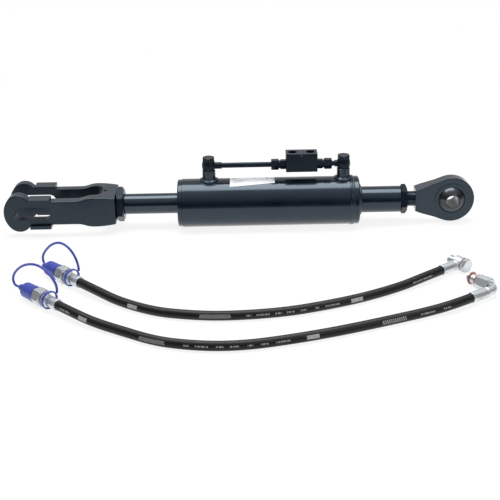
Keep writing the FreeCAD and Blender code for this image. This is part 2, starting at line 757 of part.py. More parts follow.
def make_port(side, port, toward, nipple_reach):
    """Welded boss, banjo union with its nipple, hollow bolt and two washers."""
    place = upright(port, toward)
    boss = new_body(side + "_boss")
    foot = f"({barrel_radius} - 6)"
    thread_end = f"({boss_top} - bolt_grip - 2)"
    turn_outline(boss, [
        (foot, "port_hole_radius"), (foot, "boss_flare_radius"),
        (f"{barrel_radius} + flare_rim_rise", "boss_flare_radius"),
        (f"{barrel_radius} + flare_shoulder_rise", "boss_flare_radius - boss_flare_slope"),
        (f"{barrel_radius} + flare_rise", "boss_radius"), (f"{boss_top} - 0.8", "boss_radius"),
        (boss_top, "boss_radius - 0.8"), (boss_top, "small_thread_radius + fit_gap"),
        (thread_end, "small_thread_radius + fit_gap"), (thread_end, "port_hole_radius")])
    round_hole(boss, "XY_Plane", "0", "0", f"{barrel_radius} + fit_gap", "boss_flare_radius * 3", middle=True)
    if side == "base_side":
        # the skirt is notched where it reaches over the weld bead of the cap
        round_hole(boss, "XY_Plane", "0", "0", f"{barrel_radius} + bead_height + fit_gap", "boss_flare_radius",
                   offset="cap_flange + run_gap - base_port_place")
    keep(side + "_boss", boss, place)

    union = new_body(side + "_union")
    bulge = "union_radius - union_end_radius"
    arc = f"((union_height ^ 2 / 4 + ({bulge}) ^ 2) / (2 * ({bulge})))"
    turn_outline(union, [(union_top, "0"), (union_top, "union_end_radius", arc),
                         (union_bottom, "union_end_radius"), (union_bottom, "0")])
    nipple = new_sketch(union, "XY_Plane")
    draw_circle(nipple, pipe_height, "0", "nipple_radius")
    extrude(union, nipple, nipple_reach)
    groove = f"({pipe_height} - union_groove_height / 2)"
    groove_stop = f"({pipe_height} + union_groove_height / 2)"
    turn_outline(union, [
        (f"{union_bottom} - 1", "0"), (f"{union_top} + 1", "0"), (f"{union_top} + 1", "union_bore"),
        (groove_stop, "union_bore"), (groove_stop, "union_groove_radius"), (groove, "union_groove_radius"),
        (groove, "union_bore"), (f"{union_bottom} - 1", "union_bore")], "Groove")
    round_hole(union, "XY_Plane", pipe_height, "0", "pipe_radius - pipe_wall", nipple_reach, backwards=True)
    round_hole(union, "XY_Plane", pipe_height, "0", "pipe_radius + fit_gap", "nipple_socket",
               offset=f"{nipple_reach} - nipple_socket", backwards=True)
    keep(side + "_union", union, place)

    bolt = new_body(side + "_bolt")
    corner = "(bolt_flats / 2 / cos(30))"
    bevel = f"(({corner} - bolt_flats * 0.475) * tan(30))"
    tip = f"({boss_top} - bolt_grip)"
    top = f"({bolt_seat} + bolt_head)"
    turn_outline(bolt, [
        (tip, "bolt_bore"), (tip, "small_thread_radius - 0.8"), (f"{tip} + 0.8", "small_thread_radius"),
        (bolt_seat, "small_thread_radius"), (bolt_seat, "bolt_flats * 0.475"), (f"{bolt_seat} + {bevel}", corner),
        (f"{top} - {bevel}", corner), (top, "bolt_flats * 0.475"), (top, "0"), (f"{pipe_height} + 4", "0"),
        (f"{pipe_height} + 4", "bolt_bore")])
    cut_flats(bolt, bolt_seat, "bolt_head", "bolt_flats")
    round_hole(bolt, "XY_Plane", pipe_height, "0", "drill_radius", "small_thread_radius * 3", middle=True)
    keep(side + "_bolt", bolt, place)
    return [turned(f"{side}_washer_{level}", ring(start, f"{start} + washer_thickness", "union_bore",
                                                  "union_end_radius - 0.3"), place)
            for level, start in (("low", boss_top), ("high", union_top))]


def make_adapter(side, toward):
    """Stud adapter, union nut, cutting ring and check parts at one end of the valve block."""
    face = number(block_middle) + toward * number("block_length") / 2
    place = along(face, 0, number(pipe_height), 0 if toward > 0 else 180)
    corner = "(adapter_flats / 2 / cos(30))"
    adapter = new_body(side + "_adapter")
    turn_outline(adapter, [
        ("-stud_length", "adapter_counterbore"), ("-stud_length", "small_thread_radius"),
        ("0", "small_thread_radius"), ("0", "adapter_flats * 0.48"), ("0.6", corner),
        ("adapter_hex - 0.6", corner), ("adapter_hex", "adapter_flats * 0.48"),
        ("adapter_hex", "adapter_thread_radius"), ("adapter_length - 0.8", "adapter_thread_radius"),
        ("adapter_length", "adapter_thread_radius - 0.8"), ("adapter_length", "pipe_radius + 1.3"),
        ("adapter_length - 3", "pipe_radius + fit_gap"), ("pipe_seat", "pipe_radius + fit_gap"),
        ("pipe_seat", "adapter_passage"), ("-1", "adapter_passage"), ("-1", "adapter_counterbore")])
    cut_flats(adapter, "0", "adapter_hex", "adapter_flats")
    keep(side + "_adapter", adapter, place)

    corner = "(nut_flats / 2 / cos(30))"
    rim = "(nut_flats * 0.475)"
    stop = "(nut_start + nut_length)"
    nut = new_body(side + "_union_nut")
    turn_outline(nut, [
        ("nut_start", "adapter_thread_radius + fit_gap"), ("nut_start", rim), ("nut_start + 1", corner),
        (f"{stop} - 1", corner), (stop, rim), (stop, "pipe_radius + fit_gap"),
        (f"{stop} - 3", "pipe_radius + fit_gap"), ("nut_start + nut_thread", "adapter_thread_radius + fit_gap")])
    cut_flats(nut, "nut_start", "nut_length", "nut_flats")
    nut.Placement = place
    collar = turned(side + "_cutting_ring", [
        ("adapter_length - 2.4", "pipe_radius + fit_gap / 2"), ("adapter_length + 2.6", "pipe_radius + fit_gap / 2"),
        ("adapter_length + 1.4", "pipe_radius + 1.2"), ("adapter_length + 0.2", "pipe_radius + 1.2")], place)

    middle = along(number(block_middle), 0, number(pipe_height), 0 if toward > 0 else 180)
    seat = turned(side + "_seat", ring("seat_start", "seat_start + seat_length", "seat_hole",
                                       "valve_bore - fit_gap"), middle)
    cone = "(poppet_start + poppet_cone + 0.8)"
    turned(side + "_poppet", [
        ("poppet_start", "0"), ("poppet_start", "poppet_tip - 0.3"), ("seat_start + seat_length - 0.2", "poppet_tip - 0.3"),
        (cone, "poppet_radius"), (f"{cone} + poppet_rim", "poppet_radius"),
        (f"{cone} + poppet_rim", "poppet_stem_radius"),
        (f"{cone} + poppet_rim + poppet_stem", "poppet_stem_radius"), (f"{cone} + poppet_rim + poppet_stem", "0")],
        middle)
    coil(side + "_spring", f"{cone} + poppet_rim", "block_length / 2 - 1", "check_spring_radius", "check_wire_radius",
         "check_turns", middle)
    return nut, collar, seat


def coil(label, start, stop, radius, wire, turns, place):
    """Compression spring about the X axis: round wire in short straight runs that follow a helix."""
    wire = number(wire)
    first = number(start) + number("fit_gap") + wire
    length = number(stop) - number("fit_gap") - wire - first
    count = round(number(turns) * runs_in_a_turn)
    points = []
    for index in range(count + 1):
        angle = 2 * math.pi * number(turns) * index / count
        points.append(Vector(first + length * index / count, number(radius) * math.cos(angle),
                             number(radius) * math.sin(angle)))
    section = Part.Wire(Part.makeCircle(wire, points[0], points[1] - points[0]))
    piece = doc.addObject("Part::Feature", label)
    piece.Shape = Part.makePolygon(points).makePipeShell([section], True, False, mitred)
    keep(label, piece, place)


def make_valve():
    body = new_body("valve_block")
    block = new_sketch(body, "YZ_Plane", f"{block_middle} - block_length / 2")
    half = "(block_width / 2)"
    draw_outline(block, [(f"-{half}", block_bottom), (half, block_bottom), (half, block_top), (f"-{half}", block_top)])
    extrude(body, block, "block_length")
    ends = new_sketch(body, "YZ_Plane", block_middle)
    draw_circle(ends, "0", pipe_height, "valve_bore")
    extrude(body, ends, "block_length + 2", "Pocket", middle=True)
    for start, backwards in ((f"{block_middle} - block_length / 2", True), (f"{block_middle} + block_length / 2", False)):
        round_hole(body, "YZ_Plane", "0", pipe_height, "small_thread_radius + fit_gap", "stud_length + 1",
                   offset=start, backwards=backwards)
    for sign in ("+", "-"):
        port = f"{block_middle} {sign} port_spacing / 2"
        round_hole(body, "XY_Plane", port, "0", "port_radius", "port_depth", offset=block_top)
        round_hole(body, "XY_Plane", port, "0", "port_radius + port_chamfer", "port_chamfer", offset=block_top)
        round_hole(body, "XY_Plane", f"{block_middle} {sign} drill_spacing / 2", "0", "drill_radius",
                   f"{block_top} - {pipe_height}", offset=block_top)
    round_hole(body, "XZ_Plane", block_middle, f"{pipe_height} + cross_hole_rise", "cross_hole_radius",
               "block_width + 2", middle=True)
    keep("valve_block", body)
    middle = along(number(block_middle), 0, number(pipe_height), 0)
    slide = "(valve_bore - fit_gap)"
    turned("pilot_piston", [
        ("-pilot_pin_reach", "0"), ("-pilot_pin_reach", "pilot_pin_radius"), ("-pilot_half", "pilot_pin_radius"),
        ("-pilot_half", slide), ("-1.2", slide), ("-1.2", f"{slide} - 1.2"), ("1.2", f"{slide} - 1.2"),
        ("1.2", slide), ("pilot_half", slide), ("pilot_half", "pilot_pin_radius"),
        ("pilot_pin_reach", "pilot_pin_radius"), ("pilot_pin_reach", "0")], middle)


def make_pipes():
    half = "block_length / 2"
    seat = "pipe_seat + fit_gap"
    spans = {
        "long_pipe": (f"{rod_port} + rod_nipple_reach - nipple_socket + fit_gap", f"{block_middle} - {half} - {seat}"),
        "short_pipe": (f"{block_middle} + {half} + {seat}", f"{base_port} - base_nipple_reach + nipple_socket - fit_gap"),
    }
    for label, (start, stop) in spans.items():
        turned(label, ring(start, stop, "pipe_radius - pipe_wall", "pipe_radius"),
               Placement(Vector(0, 0, number(pipe_height)), Rotation()))


# Hoses and what is on them


def smooth_path(points):
    """Straight runs joined by tangent arcs, each as large as the shorter of its two runs allows."""
    edges = []
    radii = []
    length = 0.0
    start = points[0]
    for before, corner, after in zip(points, points[1:], points[2:]):
        arriving = (corner - before).normalize()
        leaving = (after - corner).normalize()
        shorter = min((corner - before).Length, (after - corner).Length)
        turn = math.acos(max(-1.0, min(1.0, arriving.dot(leaving))))
        trim = 0.45 * shorter
        radius = trim / math.tan(turn / 2)
        first = corner - arriving * trim
        last = corner + leaving * trim
        inward = (leaving - arriving).normalize()
        centre = corner + inward * (radius / math.cos(turn / 2))
        middle = centre - inward * radius
        edges.append(Part.LineSegment(start, first).toShape())
        edges.append(Part.Arc(first, middle, last).toShape())
        length += (first - start).Length + radius * turn
        radii.append(radius)
        start = last
    edges.append(Part.LineSegment(start, points[-1]).toShape())
    length += (points[-1] - start).Length
    return Part.Wire(edges), length, radii


def swept(label, points, radius, place=None):
    path, length, radii = smooth_path(points)
    section = Part.Wire(Part.makeCircle(radius, points[0], points[1] - points[0]))
    solid = path.makePipeShell([section], True, False)
    expected = math.pi * radius ** 2 * length
    print(f"{label}: length {length:.1f}, least radius {min(radii):.1f}, volume ratio {solid.Volume / expected:.4f}")
    print("   radii", " ".join(f"{bend:.0f}" for bend in radii))
    piece = doc.addObject("Part::Feature", label)
    piece.Shape = solid
    keep(label, piece, place)


def ferrule(label, length, place):
    """Crimped sleeve with a collar at each end, from the frame's origin along its X axis."""
    waist = "(ferrule_radius - ferrule_waist)"
    return turned(label, [
        ("0", "ferrule_bore + fit_gap"), ("0", "ferrule_radius - 0.6"), ("0.6", "ferrule_radius"),
        ("ferrule_collar", "ferrule_radius"), ("ferrule_collar + 1", waist), (f"{length} - ferrule_collar - 1", waist),
        (f"{length} - ferrule_collar", "ferrule_radius"), (f"{length} - 0.6", "ferrule_radius"),
        (length, "ferrule_radius - 0.6"), (length, "ferrule_bore + fit_gap")], place)


def make_coupler(side, place):
    """Male quick coupler with its valve, dust cap, cap ring and strap, in the frame of its axis."""
    hex_stop = "(coupler_hex_start + coupler_hex_length)"
    corner = "(coupler_flats / 2 / cos(30))"
    body = new_body(side + "_coupler")
    groove = "(nose_start + ball_groove_step)"
    groove_stop = f"({groove} + ball_groove_width)"
    turn_outline(body, [
        ("nose_start", "coupler_mouth"), ("nose_start", "nose_radius - nose_chamfer"),
        ("nose_start + nose_chamfer", "nose_radius"), (groove, "nose_radius"),
        (f"{groove} + ball_groove_depth", "nose_radius - ball_groove_depth"),
        (f"{groove_stop} - ball_groove_depth", "nose_radius - ball_groove_depth"), (groove_stop, "nose_radius"),
        ("coupler_hex_start", "nose_radius"), ("coupler_hex_start", "coupler_flats * 0.475"),
        ("coupler_hex_start + 1.5", corner), (f"{hex_stop} - 1.5", corner), (hex_stop, "coupler_flats * 0.475"),
        (hex_stop, "ferrule_bore"), ("coupler_length", "ferrule_bore"), ("coupler_length", "coupler_passage"),
        ("coupler_bore_end", "coupler_passage"), ("coupler_bore_end", "coupler_bore"),
        ("nose_start + coupler_lip + coupler_seat", "coupler_bore"), ("nose_start + coupler_lip", "coupler_mouth")])
    cut_flats(body, "coupler_hex_start", "coupler_hex_length", "coupler_flats")
    keep(side + "_coupler", body, place)
    start = Placement(place)
    start.move(place.Rotation.multVec(Vector(number("coupler_length - coupler_ferrule"), 0, 0)))
    sleeve = ferrule(side + "_coupler_ferrule", "coupler_ferrule", start)

    turned(side + "_coupler_poppet", [
        (stop_tip, "0"), (stop_tip, "stop_pin_radius"), (stop_shoulder, "stop_pin_radius + 1.2"),
        (f"{stop_shoulder} + stop_cone", "stop_radius"), (stop_end, "stop_radius"), (stop_end, "0")], place)
    coil(side + "_poppet_spring", stop_end, "coupler_bore_end", "stop_radius - 1.2", "stop_wire_radius", "stop_turns", place)

    knob_end = "sqrt(cap_knob_radius ^ 2 - cap_neck_radius ^ 2)"
    bore = "(nose_radius + run_gap)"
    turned(side + "_dust_cap", [
        ("-cap_knob_radius", "0", "-cap_knob_radius"), (knob_end, "cap_neck_radius"), ("cap_back", "cap_neck_radius"),
        ("cap_back", "cap_crown_radius", "-cap_crown_round"), ("cap_shoulder", "cap_shoulder_radius"),
        ("cap_mouth - cap_rim", "cap_radius - cap_rim_step"), ("cap_mouth - cap_rim", "cap_radius"),
        ("cap_mouth", "cap_radius"),
        ("cap_mouth", bore), ("nose_start - 0.7", bore), ("nose_start - 0.7", "0")], place)
    return sleeve


def make_cap_ring(side, place):
    """Slanted slice of a tube, which stands loose round the ferrule with its top leaning towards the hose."""
    span = number("ring_radius") * 4
    centre = Vector(number("ring_place"), 0, number("ring_lift"))
    outer = doc.addObject("Part::Cylinder", side + "_ring_outer")
    outer.setExpression("Radius", bind("ring_radius"))
    inner = doc.addObject("Part::Cylinder", side + "_ring_inner")
    inner.setExpression("Radius", bind("ring_bore"))
    for tube in (outer, inner):
        tube.Height = span
        tube.Placement = Placement(centre - Vector(span / 2, 0, 0), Rotation(Vector(0, 1, 0), 90))
    hollow = doc.addObject("Part::Cut", side + "_ring_tube")
    hollow.Base = outer
    hollow.Tool = inner
    slab = doc.addObject("Part::Box", side + "_ring_slab")
    slab.setExpression("Length", bind("ring_width"))
    slab.Width = span
    slab.Height = span
    tilt = Rotation(Vector(0, 1, 0), number("ring_tilt"))
    slab.Placement = Placement(centre + tilt.multVec(Vector(-number("ring_width") / 2, -span / 2, -span / 2)), tilt)
    slice_ = doc.addObject("Part::Common", side + "_cap_ring")
    slice_.Base = hollow
    slice_.Tool = slab
    keep(side + "_cap_ring", slice_, place)


def make_banjo_end(place):
    """Banjo eye with its hollow bolt and two copper washers, at the valve end of the upper hose."""
    body = new_body("upper_banjo_eye")
    turn_outline(body, [("0", "coupler_passage"), ("0", "ferrule_bore"), ("upper_ferrule", "ferrule_bore"),
                        ("upper_ferrule", "banjo_neck_radius"), ("banjo_reach - 4", "banjo_neck_radius"),
                        ("banjo_reach - 4", "coupler_passage")])
    head = new_sketch(body, "XZ_Plane")
    draw_circle(head, "banjo_reach", "0", "banjo_radius")
    extrude(body, head, "banjo_thickness", middle=True)
    round_hole(body, "XZ_Plane", "banjo_reach", "0", "large_thread_radius + run_gap", "banjo_thickness + 2", middle=True)
    keep("upper_banjo_eye", body, place)
    sleeve = ferrule("upper_end_ferrule", "upper_ferrule", place)

    across = place.multiply(Placement(Vector(number("banjo_reach"), 0, 0), Rotation(Vector(0, 0, 1), 90)))
    corner = "(banjo_flats / 2 / cos(30))"
    seat = "(-banjo_thickness / 2 - copper_thickness - run_gap)"
    head_end = f"({seat} - banjo_head)"
    rear = "(banjo_thickness / 2 + copper_thickness)"
    tip = f"({rear} + banjo_thread)"
    shank = "(large_thread_radius - banjo_relief)"
    bolt = new_body("upper_banjo_bolt")
    turn_outline(bolt, [
        (head_end, "0"), (head_end, "banjo_flats * 0.475"), (f"{head_end} + 1", corner),
        (seat, corner), (seat, shank), (f"{rear} + banjo_undercut", shank),
        (f"{rear} + banjo_undercut", "large_thread_radius"), (f"{tip} - 1", "large_thread_radius"),
        (tip, "large_thread_radius - 1"), (tip, "banjo_bore"), ("-4", "banjo_bore"), ("-4", "0")])
    cut_flats(bolt, head_end, "banjo_head", "banjo_flats")
    round_hole(bolt, "XY_Plane", "0", "0", "drill_radius", "large_thread_radius * 3", middle=True)
    keep("upper_banjo_bolt", bolt, across)
    half = "banjo_thickness / 2"
    washers = [turned(f"upper_copper_{name}", ring(start, f"{start} + copper_thickness",
                                                   "large_thread_radius + run_gap", "copper_radius"), across)
               for name, start in (("front", f"(-{half} - copper_thickness)"), ("rear", f"({half})"))]
    return sleeve, washers


def make_elbow_end(place):
    """Right-angle elbow with a swivel nut and a stud adapter, at the valve end of the lower hose."""
    body = new_body("lower_elbow")
    turn_outline(body, [("0", "elbow_bore"), ("0", "ferrule_bore"), ("lower_ferrule", "ferrule_bore"),
                        ("lower_ferrule", "elbow_radius"), ("elbow_reach - elbow_bend", "elbow_radius"),
                        ("elbow_reach - elbow_bend", "elbow_bore")])
    path = new_sketch(body, "XY_Plane")
    turn_x, turn_y = number("elbow_reach - elbow_bend"), number("elbow_bend")
    lead = path.addGeometry(Part.LineSegment(Vector(turn_x - 2, 0, 0), Vector(turn_x, 0, 0)))
    circle = Part.Circle(Vector(turn_x, turn_y, 0), Vector(0, 0, 1), turn_y)
    bend = path.addGeometry(Part.ArcOfCircle(circle, -math.pi / 2, 0))
    leg = path.addGeometry(Part.LineSegment(Vector(turn_x + turn_y, turn_y, 0),
                                            Vector(turn_x + turn_y, number("elbow_leg"), 0)))
    path.addConstraint([
        Sketcher.Constraint("PointOnObject", lead, 1, -1), Sketcher.Constraint("PointOnObject", lead, 2, -1),
        Sketcher.Constraint("Coincident", lead, 2, bend, 1), Sketcher.Constraint("Coincident", bend, 2, leg, 1),
        Sketcher.Constraint("Vertical", leg)])
    for name, kind, edge, point, text in (
            ("lead_start", "DistanceX", lead, 1, "elbow_reach - elbow_bend - 2"),
            ("bend_start", "DistanceX", lead, 2, "elbow_reach - elbow_bend"),
            ("centre_along", "DistanceX", bend, 3, "elbow_reach - elbow_bend"),
            ("centre_across", "DistanceY", bend, 3, "elbow_bend"),
            ("bend_end", "DistanceY", bend, 2, "elbow_bend"),
            ("leg_end", "DistanceY", leg, 2, "elbow_leg")):
        index = path.addConstraint(Sketcher.Constraint(kind, -1, 1, edge, point, number(text)))
        path.renameConstraint(index, name)
        path.setExpression("Constraints." + name, bind(text))
    section = new_sketch(body, "YZ_Plane", "elbow_reach - elbow_bend - 2")
    draw_circle(section, "0", "0", "elbow_radius")
    draw_circle(section, "0", "0", "elbow_bore")
    pipe = body.newObject("PartDesign::AdditivePipe", "lower_elbow_bend")
    pipe.Profile = section
    pipe.Spine = (path, [f"Edge{index}" for index in (1, 2, 3)])
    collar = new_sketch(body, "XZ_Plane", "-elbow_leg")
    draw_circle(collar, "elbow_reach", "0", "elbow_collar_radius")
    draw_circle(collar, "elbow_reach", "0", "elbow_bore")
    extrude(body, collar, "elbow_collar", backwards=True)
    keep("lower_elbow", body, place)
    sleeve = ferrule("lower_end_ferrule", "lower_ferrule", place)

    across = place.multiply(Placement(Vector(number("elbow_reach"), 0, 0), Rotation(Vector(0, 0, 1), 90)))
    corner = "(swivel_flats / 2 / cos(30))"
    rim = "(swivel_flats * 0.475)"
    stop = "(swivel_start + swivel_length)"
    back = "(elbow_leg - run_gap)"
    inside = "(elbow_collar_radius + run_gap)"
    nut = new_body("lower_swivel_nut")
    turn_outline(nut, [
        ("swivel_start", "elbow_radius + run_gap"), ("swivel_start", rim), ("swivel_start + 1.2", corner),
        (f"{stop} - 1.2", corner), (stop, rim), (stop, inside), (back, inside), (back, "elbow_radius + run_gap")])
    cut_flats(nut, "swivel_start", "swivel_length", "swivel_flats")
    keep("lower_swivel_nut", nut, across)

    corner = "(banjo_flats / 2 / cos(30))"
    hex_stop = "(stud_hex_start + stud_hex_length)"
    tip = f"({hex_stop} + copper_thickness + stud_thread)"
    stud = new_body("lower_adapter")
    turn_outline(stud, [
        ("elbow_leg + elbow_collar + fit_gap", "elbow_bore"), ("elbow_leg + elbow_collar + fit_gap", "elbow_collar_radius - 0.8"),
        ("elbow_leg + elbow_collar + 1", "elbow_collar_radius"), ("stud_hex_start", "elbow_collar_radius"),
        ("stud_hex_start", "banjo_flats * 0.475"), ("stud_hex_start + 1", corner), (f"{hex_stop} - 1", corner),
        (hex_stop, "banjo_flats * 0.475"), (hex_stop, "large_thread_radius"), (f"{tip} - 1", "large_thread_radius"),
        (tip, "large_thread_radius - 1"), (tip, "elbow_bore")])
    cut_flats(stud, "stud_hex_start", "stud_hex_length", "banjo_flats")
    keep("lower_adapter", stud, across)
    washers = [turned(f"lower_copper_{name}", ring(start, f"{start} + copper_thickness",
                                                   "large_thread_radius + run_gap", "copper_radius"), across)
               for name, start in (("front", hex_stop), ("rear", f"({hex_stop} + copper_thickness + loose_washer_gap)"))]
    return sleeve, washers


# Nuts stand as they stopped when tightened, in degrees about the arm
fork_nut_spin = 10
eye_nut_spin = -12

# Where the couplers and the hose ends lie on the floor: x, y and heading in degrees
upper_coupler_at = (-754, -216, -46)
lower_coupler_at = (-779, -305, -45)
upper_end_at = (-61.5, -264.7, 38)
lower_end_at = (-31.5, -376.7, 35)

# How far the hoses run on straight out of their fittings
upper_coupler_lead = 46
lower_coupler_lead = 40
end_lead = 42


def make_hoses():
    floor = -number(barrel_radius)
    level = floor + number("hose_radius + hose_lift")
    cap_level = floor + number("cap_radius")
    end_level = floor + number("end_level")
    upper_place = along(upper_coupler_at[0], upper_coupler_at[1], cap_level, upper_coupler_at[2])
    lower_place = along(lower_coupler_at[0], lower_coupler_at[1], cap_level, lower_coupler_at[2])
    upper_end = along(upper_end_at[0], upper_end_at[1], end_level, upper_end_at[2])
    lower_end = along(lower_end_at[0], lower_end_at[1], end_level, lower_end_at[2])
    hose_start = Vector(number("coupler_length"), 0, 0)
    upper_route = [
        upper_place.multVec(hose_start), upper_place.multVec(hose_start + Vector(upper_coupler_lead, 0, 0)),
        Vector(-607.6, -358.5, level + 0.6), Vector(-547.5, -396.0, level), Vector(-497.5, -409.5, level),
        Vector(-449.0, -416.5, level), Vector(-393.0, -414.5, level), Vector(-332.0, -405.5, level),
        Vector(-276.0, -387.5, level), Vector(-220.2, -365.1, level), Vector(-175.4, -341.5, level),
        Vector(-131.1, -314.5, level + 0.5), upper_end.multVec(Vector(-end_lead, 0, 0)), upper_end.Base]
    lower_route = [
        lower_place.multVec(hose_start), lower_place.multVec(hose_start + Vector(lower_coupler_lead, 0, 0)),
        Vector(-640.0, -433.5, level + 1.2), Vector(-594.0, -462.5, level), Vector(-539.5, -498.0, level),
        Vector(-490.0, -513.0, level), Vector(-440.0, -519.5, level), Vector(-388.0, -515.5, level),
        Vector(-322.0, -498.5, level), Vector(-262.0, -479.0, level), Vector(-210.0, -459.0, level),
        Vector(-156.0, -436.5, level), Vector(-108.0, -417.0, level + 0.6), lower_end.multVec(Vector(-end_lead, 0, 0)),
        lower_end.Base]
    swept("upper_hose", upper_route, number("hose_radius"))
    swept("lower_hose", lower_route, number("hose_radius"))
    # strap loops from the ring to the cap, in each coupler's own directions: along it, sideways and up
    upper_loop = [(79.5, 16.3, 9.7), (79.3, 16.3, 17.1), (77.5, 15, 27.9), (73.6, 13, 38.4), (67.1, 10.5, 47.8),
                  (56.7, 8, 54.1), (44.9, 5.6, 55.3), (32.9, 3.8, 51.7), (19.9, 2.2, 44.2), (8, 1.1, 33.6),
                  (-1.6, 0.4, 22.9), (-6.4, 0, 11.4), (-2.42, 0, 5.2)]
    lower_loop = [(79.5, 16.3, 9.7), (81.1, 16.3, 17.1), (79.8, 15.2, 26.7), (73.4, 13.2, 36.8), (63.6, 11, 44.9),
                  (50.6, 8.6, 50.6), (35.1, 6.2, 51), (19.9, 4, 47.1), (5.5, 2.4, 40.5), (-8.2, 1.2, 30.8),
                  (-19.4, 0.4, 19.3), (-24.5, 0, 8.5), (-21.5, 0, -0.5), (-14, 0, -2.4), (-5.62, 0, -0.96)]
    for side, place, loop in (("upper", upper_place, upper_loop), ("lower", lower_place, lower_loop)):
        make_cap_ring(side, place)
        swept(side + "_cap_strap", [Vector(x, y, z) for x, y, z in loop], number("strap_radius"), place)
    upper_sleeve, upper_washers = make_banjo_end(upper_end)
    lower_sleeve, lower_washers = make_elbow_end(lower_end)
    grouped("upper_ferrules", [make_coupler("upper", upper_place), upper_sleeve])
    grouped("lower_ferrules", [make_coupler("lower", lower_place), lower_sleeve])
    grouped("copper_washers", upper_washers + lower_washers)


make_barrel()
make_base_cap()
make_gland()
make_piston()
make_rod()
make_fork()
make_neck()
make_eye()
make_ball()
make_valve()
make_pipes()
union_washers = make_port("rod_side", rod_port, 1, "rod_nipple_reach")
union_washers += make_port("base_side", base_port, -1, "base_nipple_reach")
grouped("union_washers", union_washers)
ends = [make_adapter("rod_side", -1), make_adapter("base_side", 1)]
for label, pieces in zip(("union_nuts", "cutting_rings", "valve_seats"), zip(*ends)):
    grouped(label, list(pieces))
make_hoses()
doc.recompute()

failed = [item.Name for item in doc.Objects if "Invalid" in item.State or "Error" in item.State]
if failed:
    raise RuntimeError(f"failed: {failed}")
os.makedirs("parts", exist_ok=True)
for label, piece in nodes.items():
    shape = piece.Shape
    if shape.isNull() or not shape.isValid() or not shape.Solids:
        raise RuntimeError(f"{label} has no valid solid")
    shape.exportStep(f"parts/{label}.step")
    print(f"{label}: {len(shape.Solids)} solid, volume {shape.Volume:.1f}")
print(len(nodes), "nodes")
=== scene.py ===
import json
import math
import bmesh
import bpy
import numpy as np
from mathutils import Matrix, Vector


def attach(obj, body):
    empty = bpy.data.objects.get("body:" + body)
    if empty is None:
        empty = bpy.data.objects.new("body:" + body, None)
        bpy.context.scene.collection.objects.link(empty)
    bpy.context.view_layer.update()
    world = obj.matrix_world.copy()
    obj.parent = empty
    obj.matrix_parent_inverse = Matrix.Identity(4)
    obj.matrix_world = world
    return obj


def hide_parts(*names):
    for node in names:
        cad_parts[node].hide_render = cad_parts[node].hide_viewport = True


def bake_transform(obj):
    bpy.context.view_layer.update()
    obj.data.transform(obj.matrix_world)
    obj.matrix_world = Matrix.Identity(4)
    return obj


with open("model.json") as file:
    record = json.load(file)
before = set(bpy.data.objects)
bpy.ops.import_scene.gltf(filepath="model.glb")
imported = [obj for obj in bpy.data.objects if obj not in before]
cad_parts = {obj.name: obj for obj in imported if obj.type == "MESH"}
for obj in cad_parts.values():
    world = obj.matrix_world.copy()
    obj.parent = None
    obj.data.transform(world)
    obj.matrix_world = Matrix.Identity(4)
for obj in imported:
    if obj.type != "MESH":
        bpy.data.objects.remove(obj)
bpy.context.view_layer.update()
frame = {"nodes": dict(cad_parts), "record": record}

scene = bpy.context.scene
bodyOf = {node: body for body, nodes in frame["record"]["behaviour"]["bodies"].items() for node in nodes}
slotOf = {part["node"]: part["material_slot"] for part in frame["record"]["subparts"]}
print("frame loaded,", len(bodyOf), "nodes")

# Where things lie, in metres, as the solids have them. Each hose end has x, y and a heading in degrees
layout = {
    "floor": -0.047,
    "barrelRadius": 0.047,
    "valveHeight": 0.075,
    "capLevel": -0.033,
    "endLevel": -0.0348,
    "hoseLevel": -0.0389,
    "upperCoupler": (-0.754, -0.216, -46.0),
    "lowerCoupler": (-0.779, -0.305, -45.0),
    "upperEnd": (-0.0615, -0.2647, 38.0),
    "lowerEnd": (-0.0315, -0.3767, 35.0),
    "banjoReach": 0.048,
    "elbowReach": 0.058,
    "ferruleStart": 0.068,
    "ferruleEnd": 0.104,
    "upperLead": 0.046,
    "lowerLead": 0.040,
    "endLead": 0.042,
}


def levelPlace(at, height):  # a place whose X axis lies level, along the heading of at
    return Matrix.Translation((at[0], at[1], height)) @ Matrix.Rotation(math.radians(at[2]), 4, "Z")


def crossPlace(place, reach):  # a place further along another one, turned left so that its X axis runs across
    return place @ Matrix.Translation((reach, 0, 0)) @ Matrix.Rotation(math.radians(90), 4, "Z")


def onPlace(place, x, y=0.0, z=0.0):  # a point of a place's own frame in the model's
    return tuple(place @ Vector((x, y, z)))


upperCouplerPlace = levelPlace(layout["upperCoupler"], layout["capLevel"])
lowerCouplerPlace = levelPlace(layout["lowerCoupler"], layout["capLevel"])
upperEndPlace = levelPlace(layout["upperEnd"], layout["endLevel"])
lowerEndPlace = levelPlace(layout["lowerEnd"], layout["endLevel"])

# Camera

cameraSettings = {"place": (-0.391, -1.9698, 0.734), "tilt": 67.0, "roll": -1.11, "lens": 77.9,
                  "sensor": 36.0, "sees": 20.0}


def makeCamera():
    data = bpy.data.cameras.new("camera")
    data.lens = cameraSettings["lens"]
    data.sensor_width = cameraSettings["sensor"]
    data.clip_end = cameraSettings["sees"]
    camera = bpy.data.objects.new("camera", data)
    scene.collection.objects.link(camera)
    turn = Matrix.Rotation(math.radians(cameraSettings["tilt"]), 4, "X")
    roll = Matrix.Rotation(math.radians(cameraSettings["roll"]), 4, "Z")
    camera.matrix_world = Matrix.Translation(cameraSettings["place"]) @ turn @ roll
    scene.camera = camera


makeCamera()

# Materials


def emptyMaterial(name):
    material = bpy.data.materials.new(name)
    material.use_nodes = True
    nodes = material.node_tree.nodes
    shader = next(node for node in nodes if node.type == "BSDF_PRINCIPLED")
    return material, nodes, material.node_tree.links, shader


def solidColour(colour):  # three shares with full opacity
    return (*colour, 1.0)


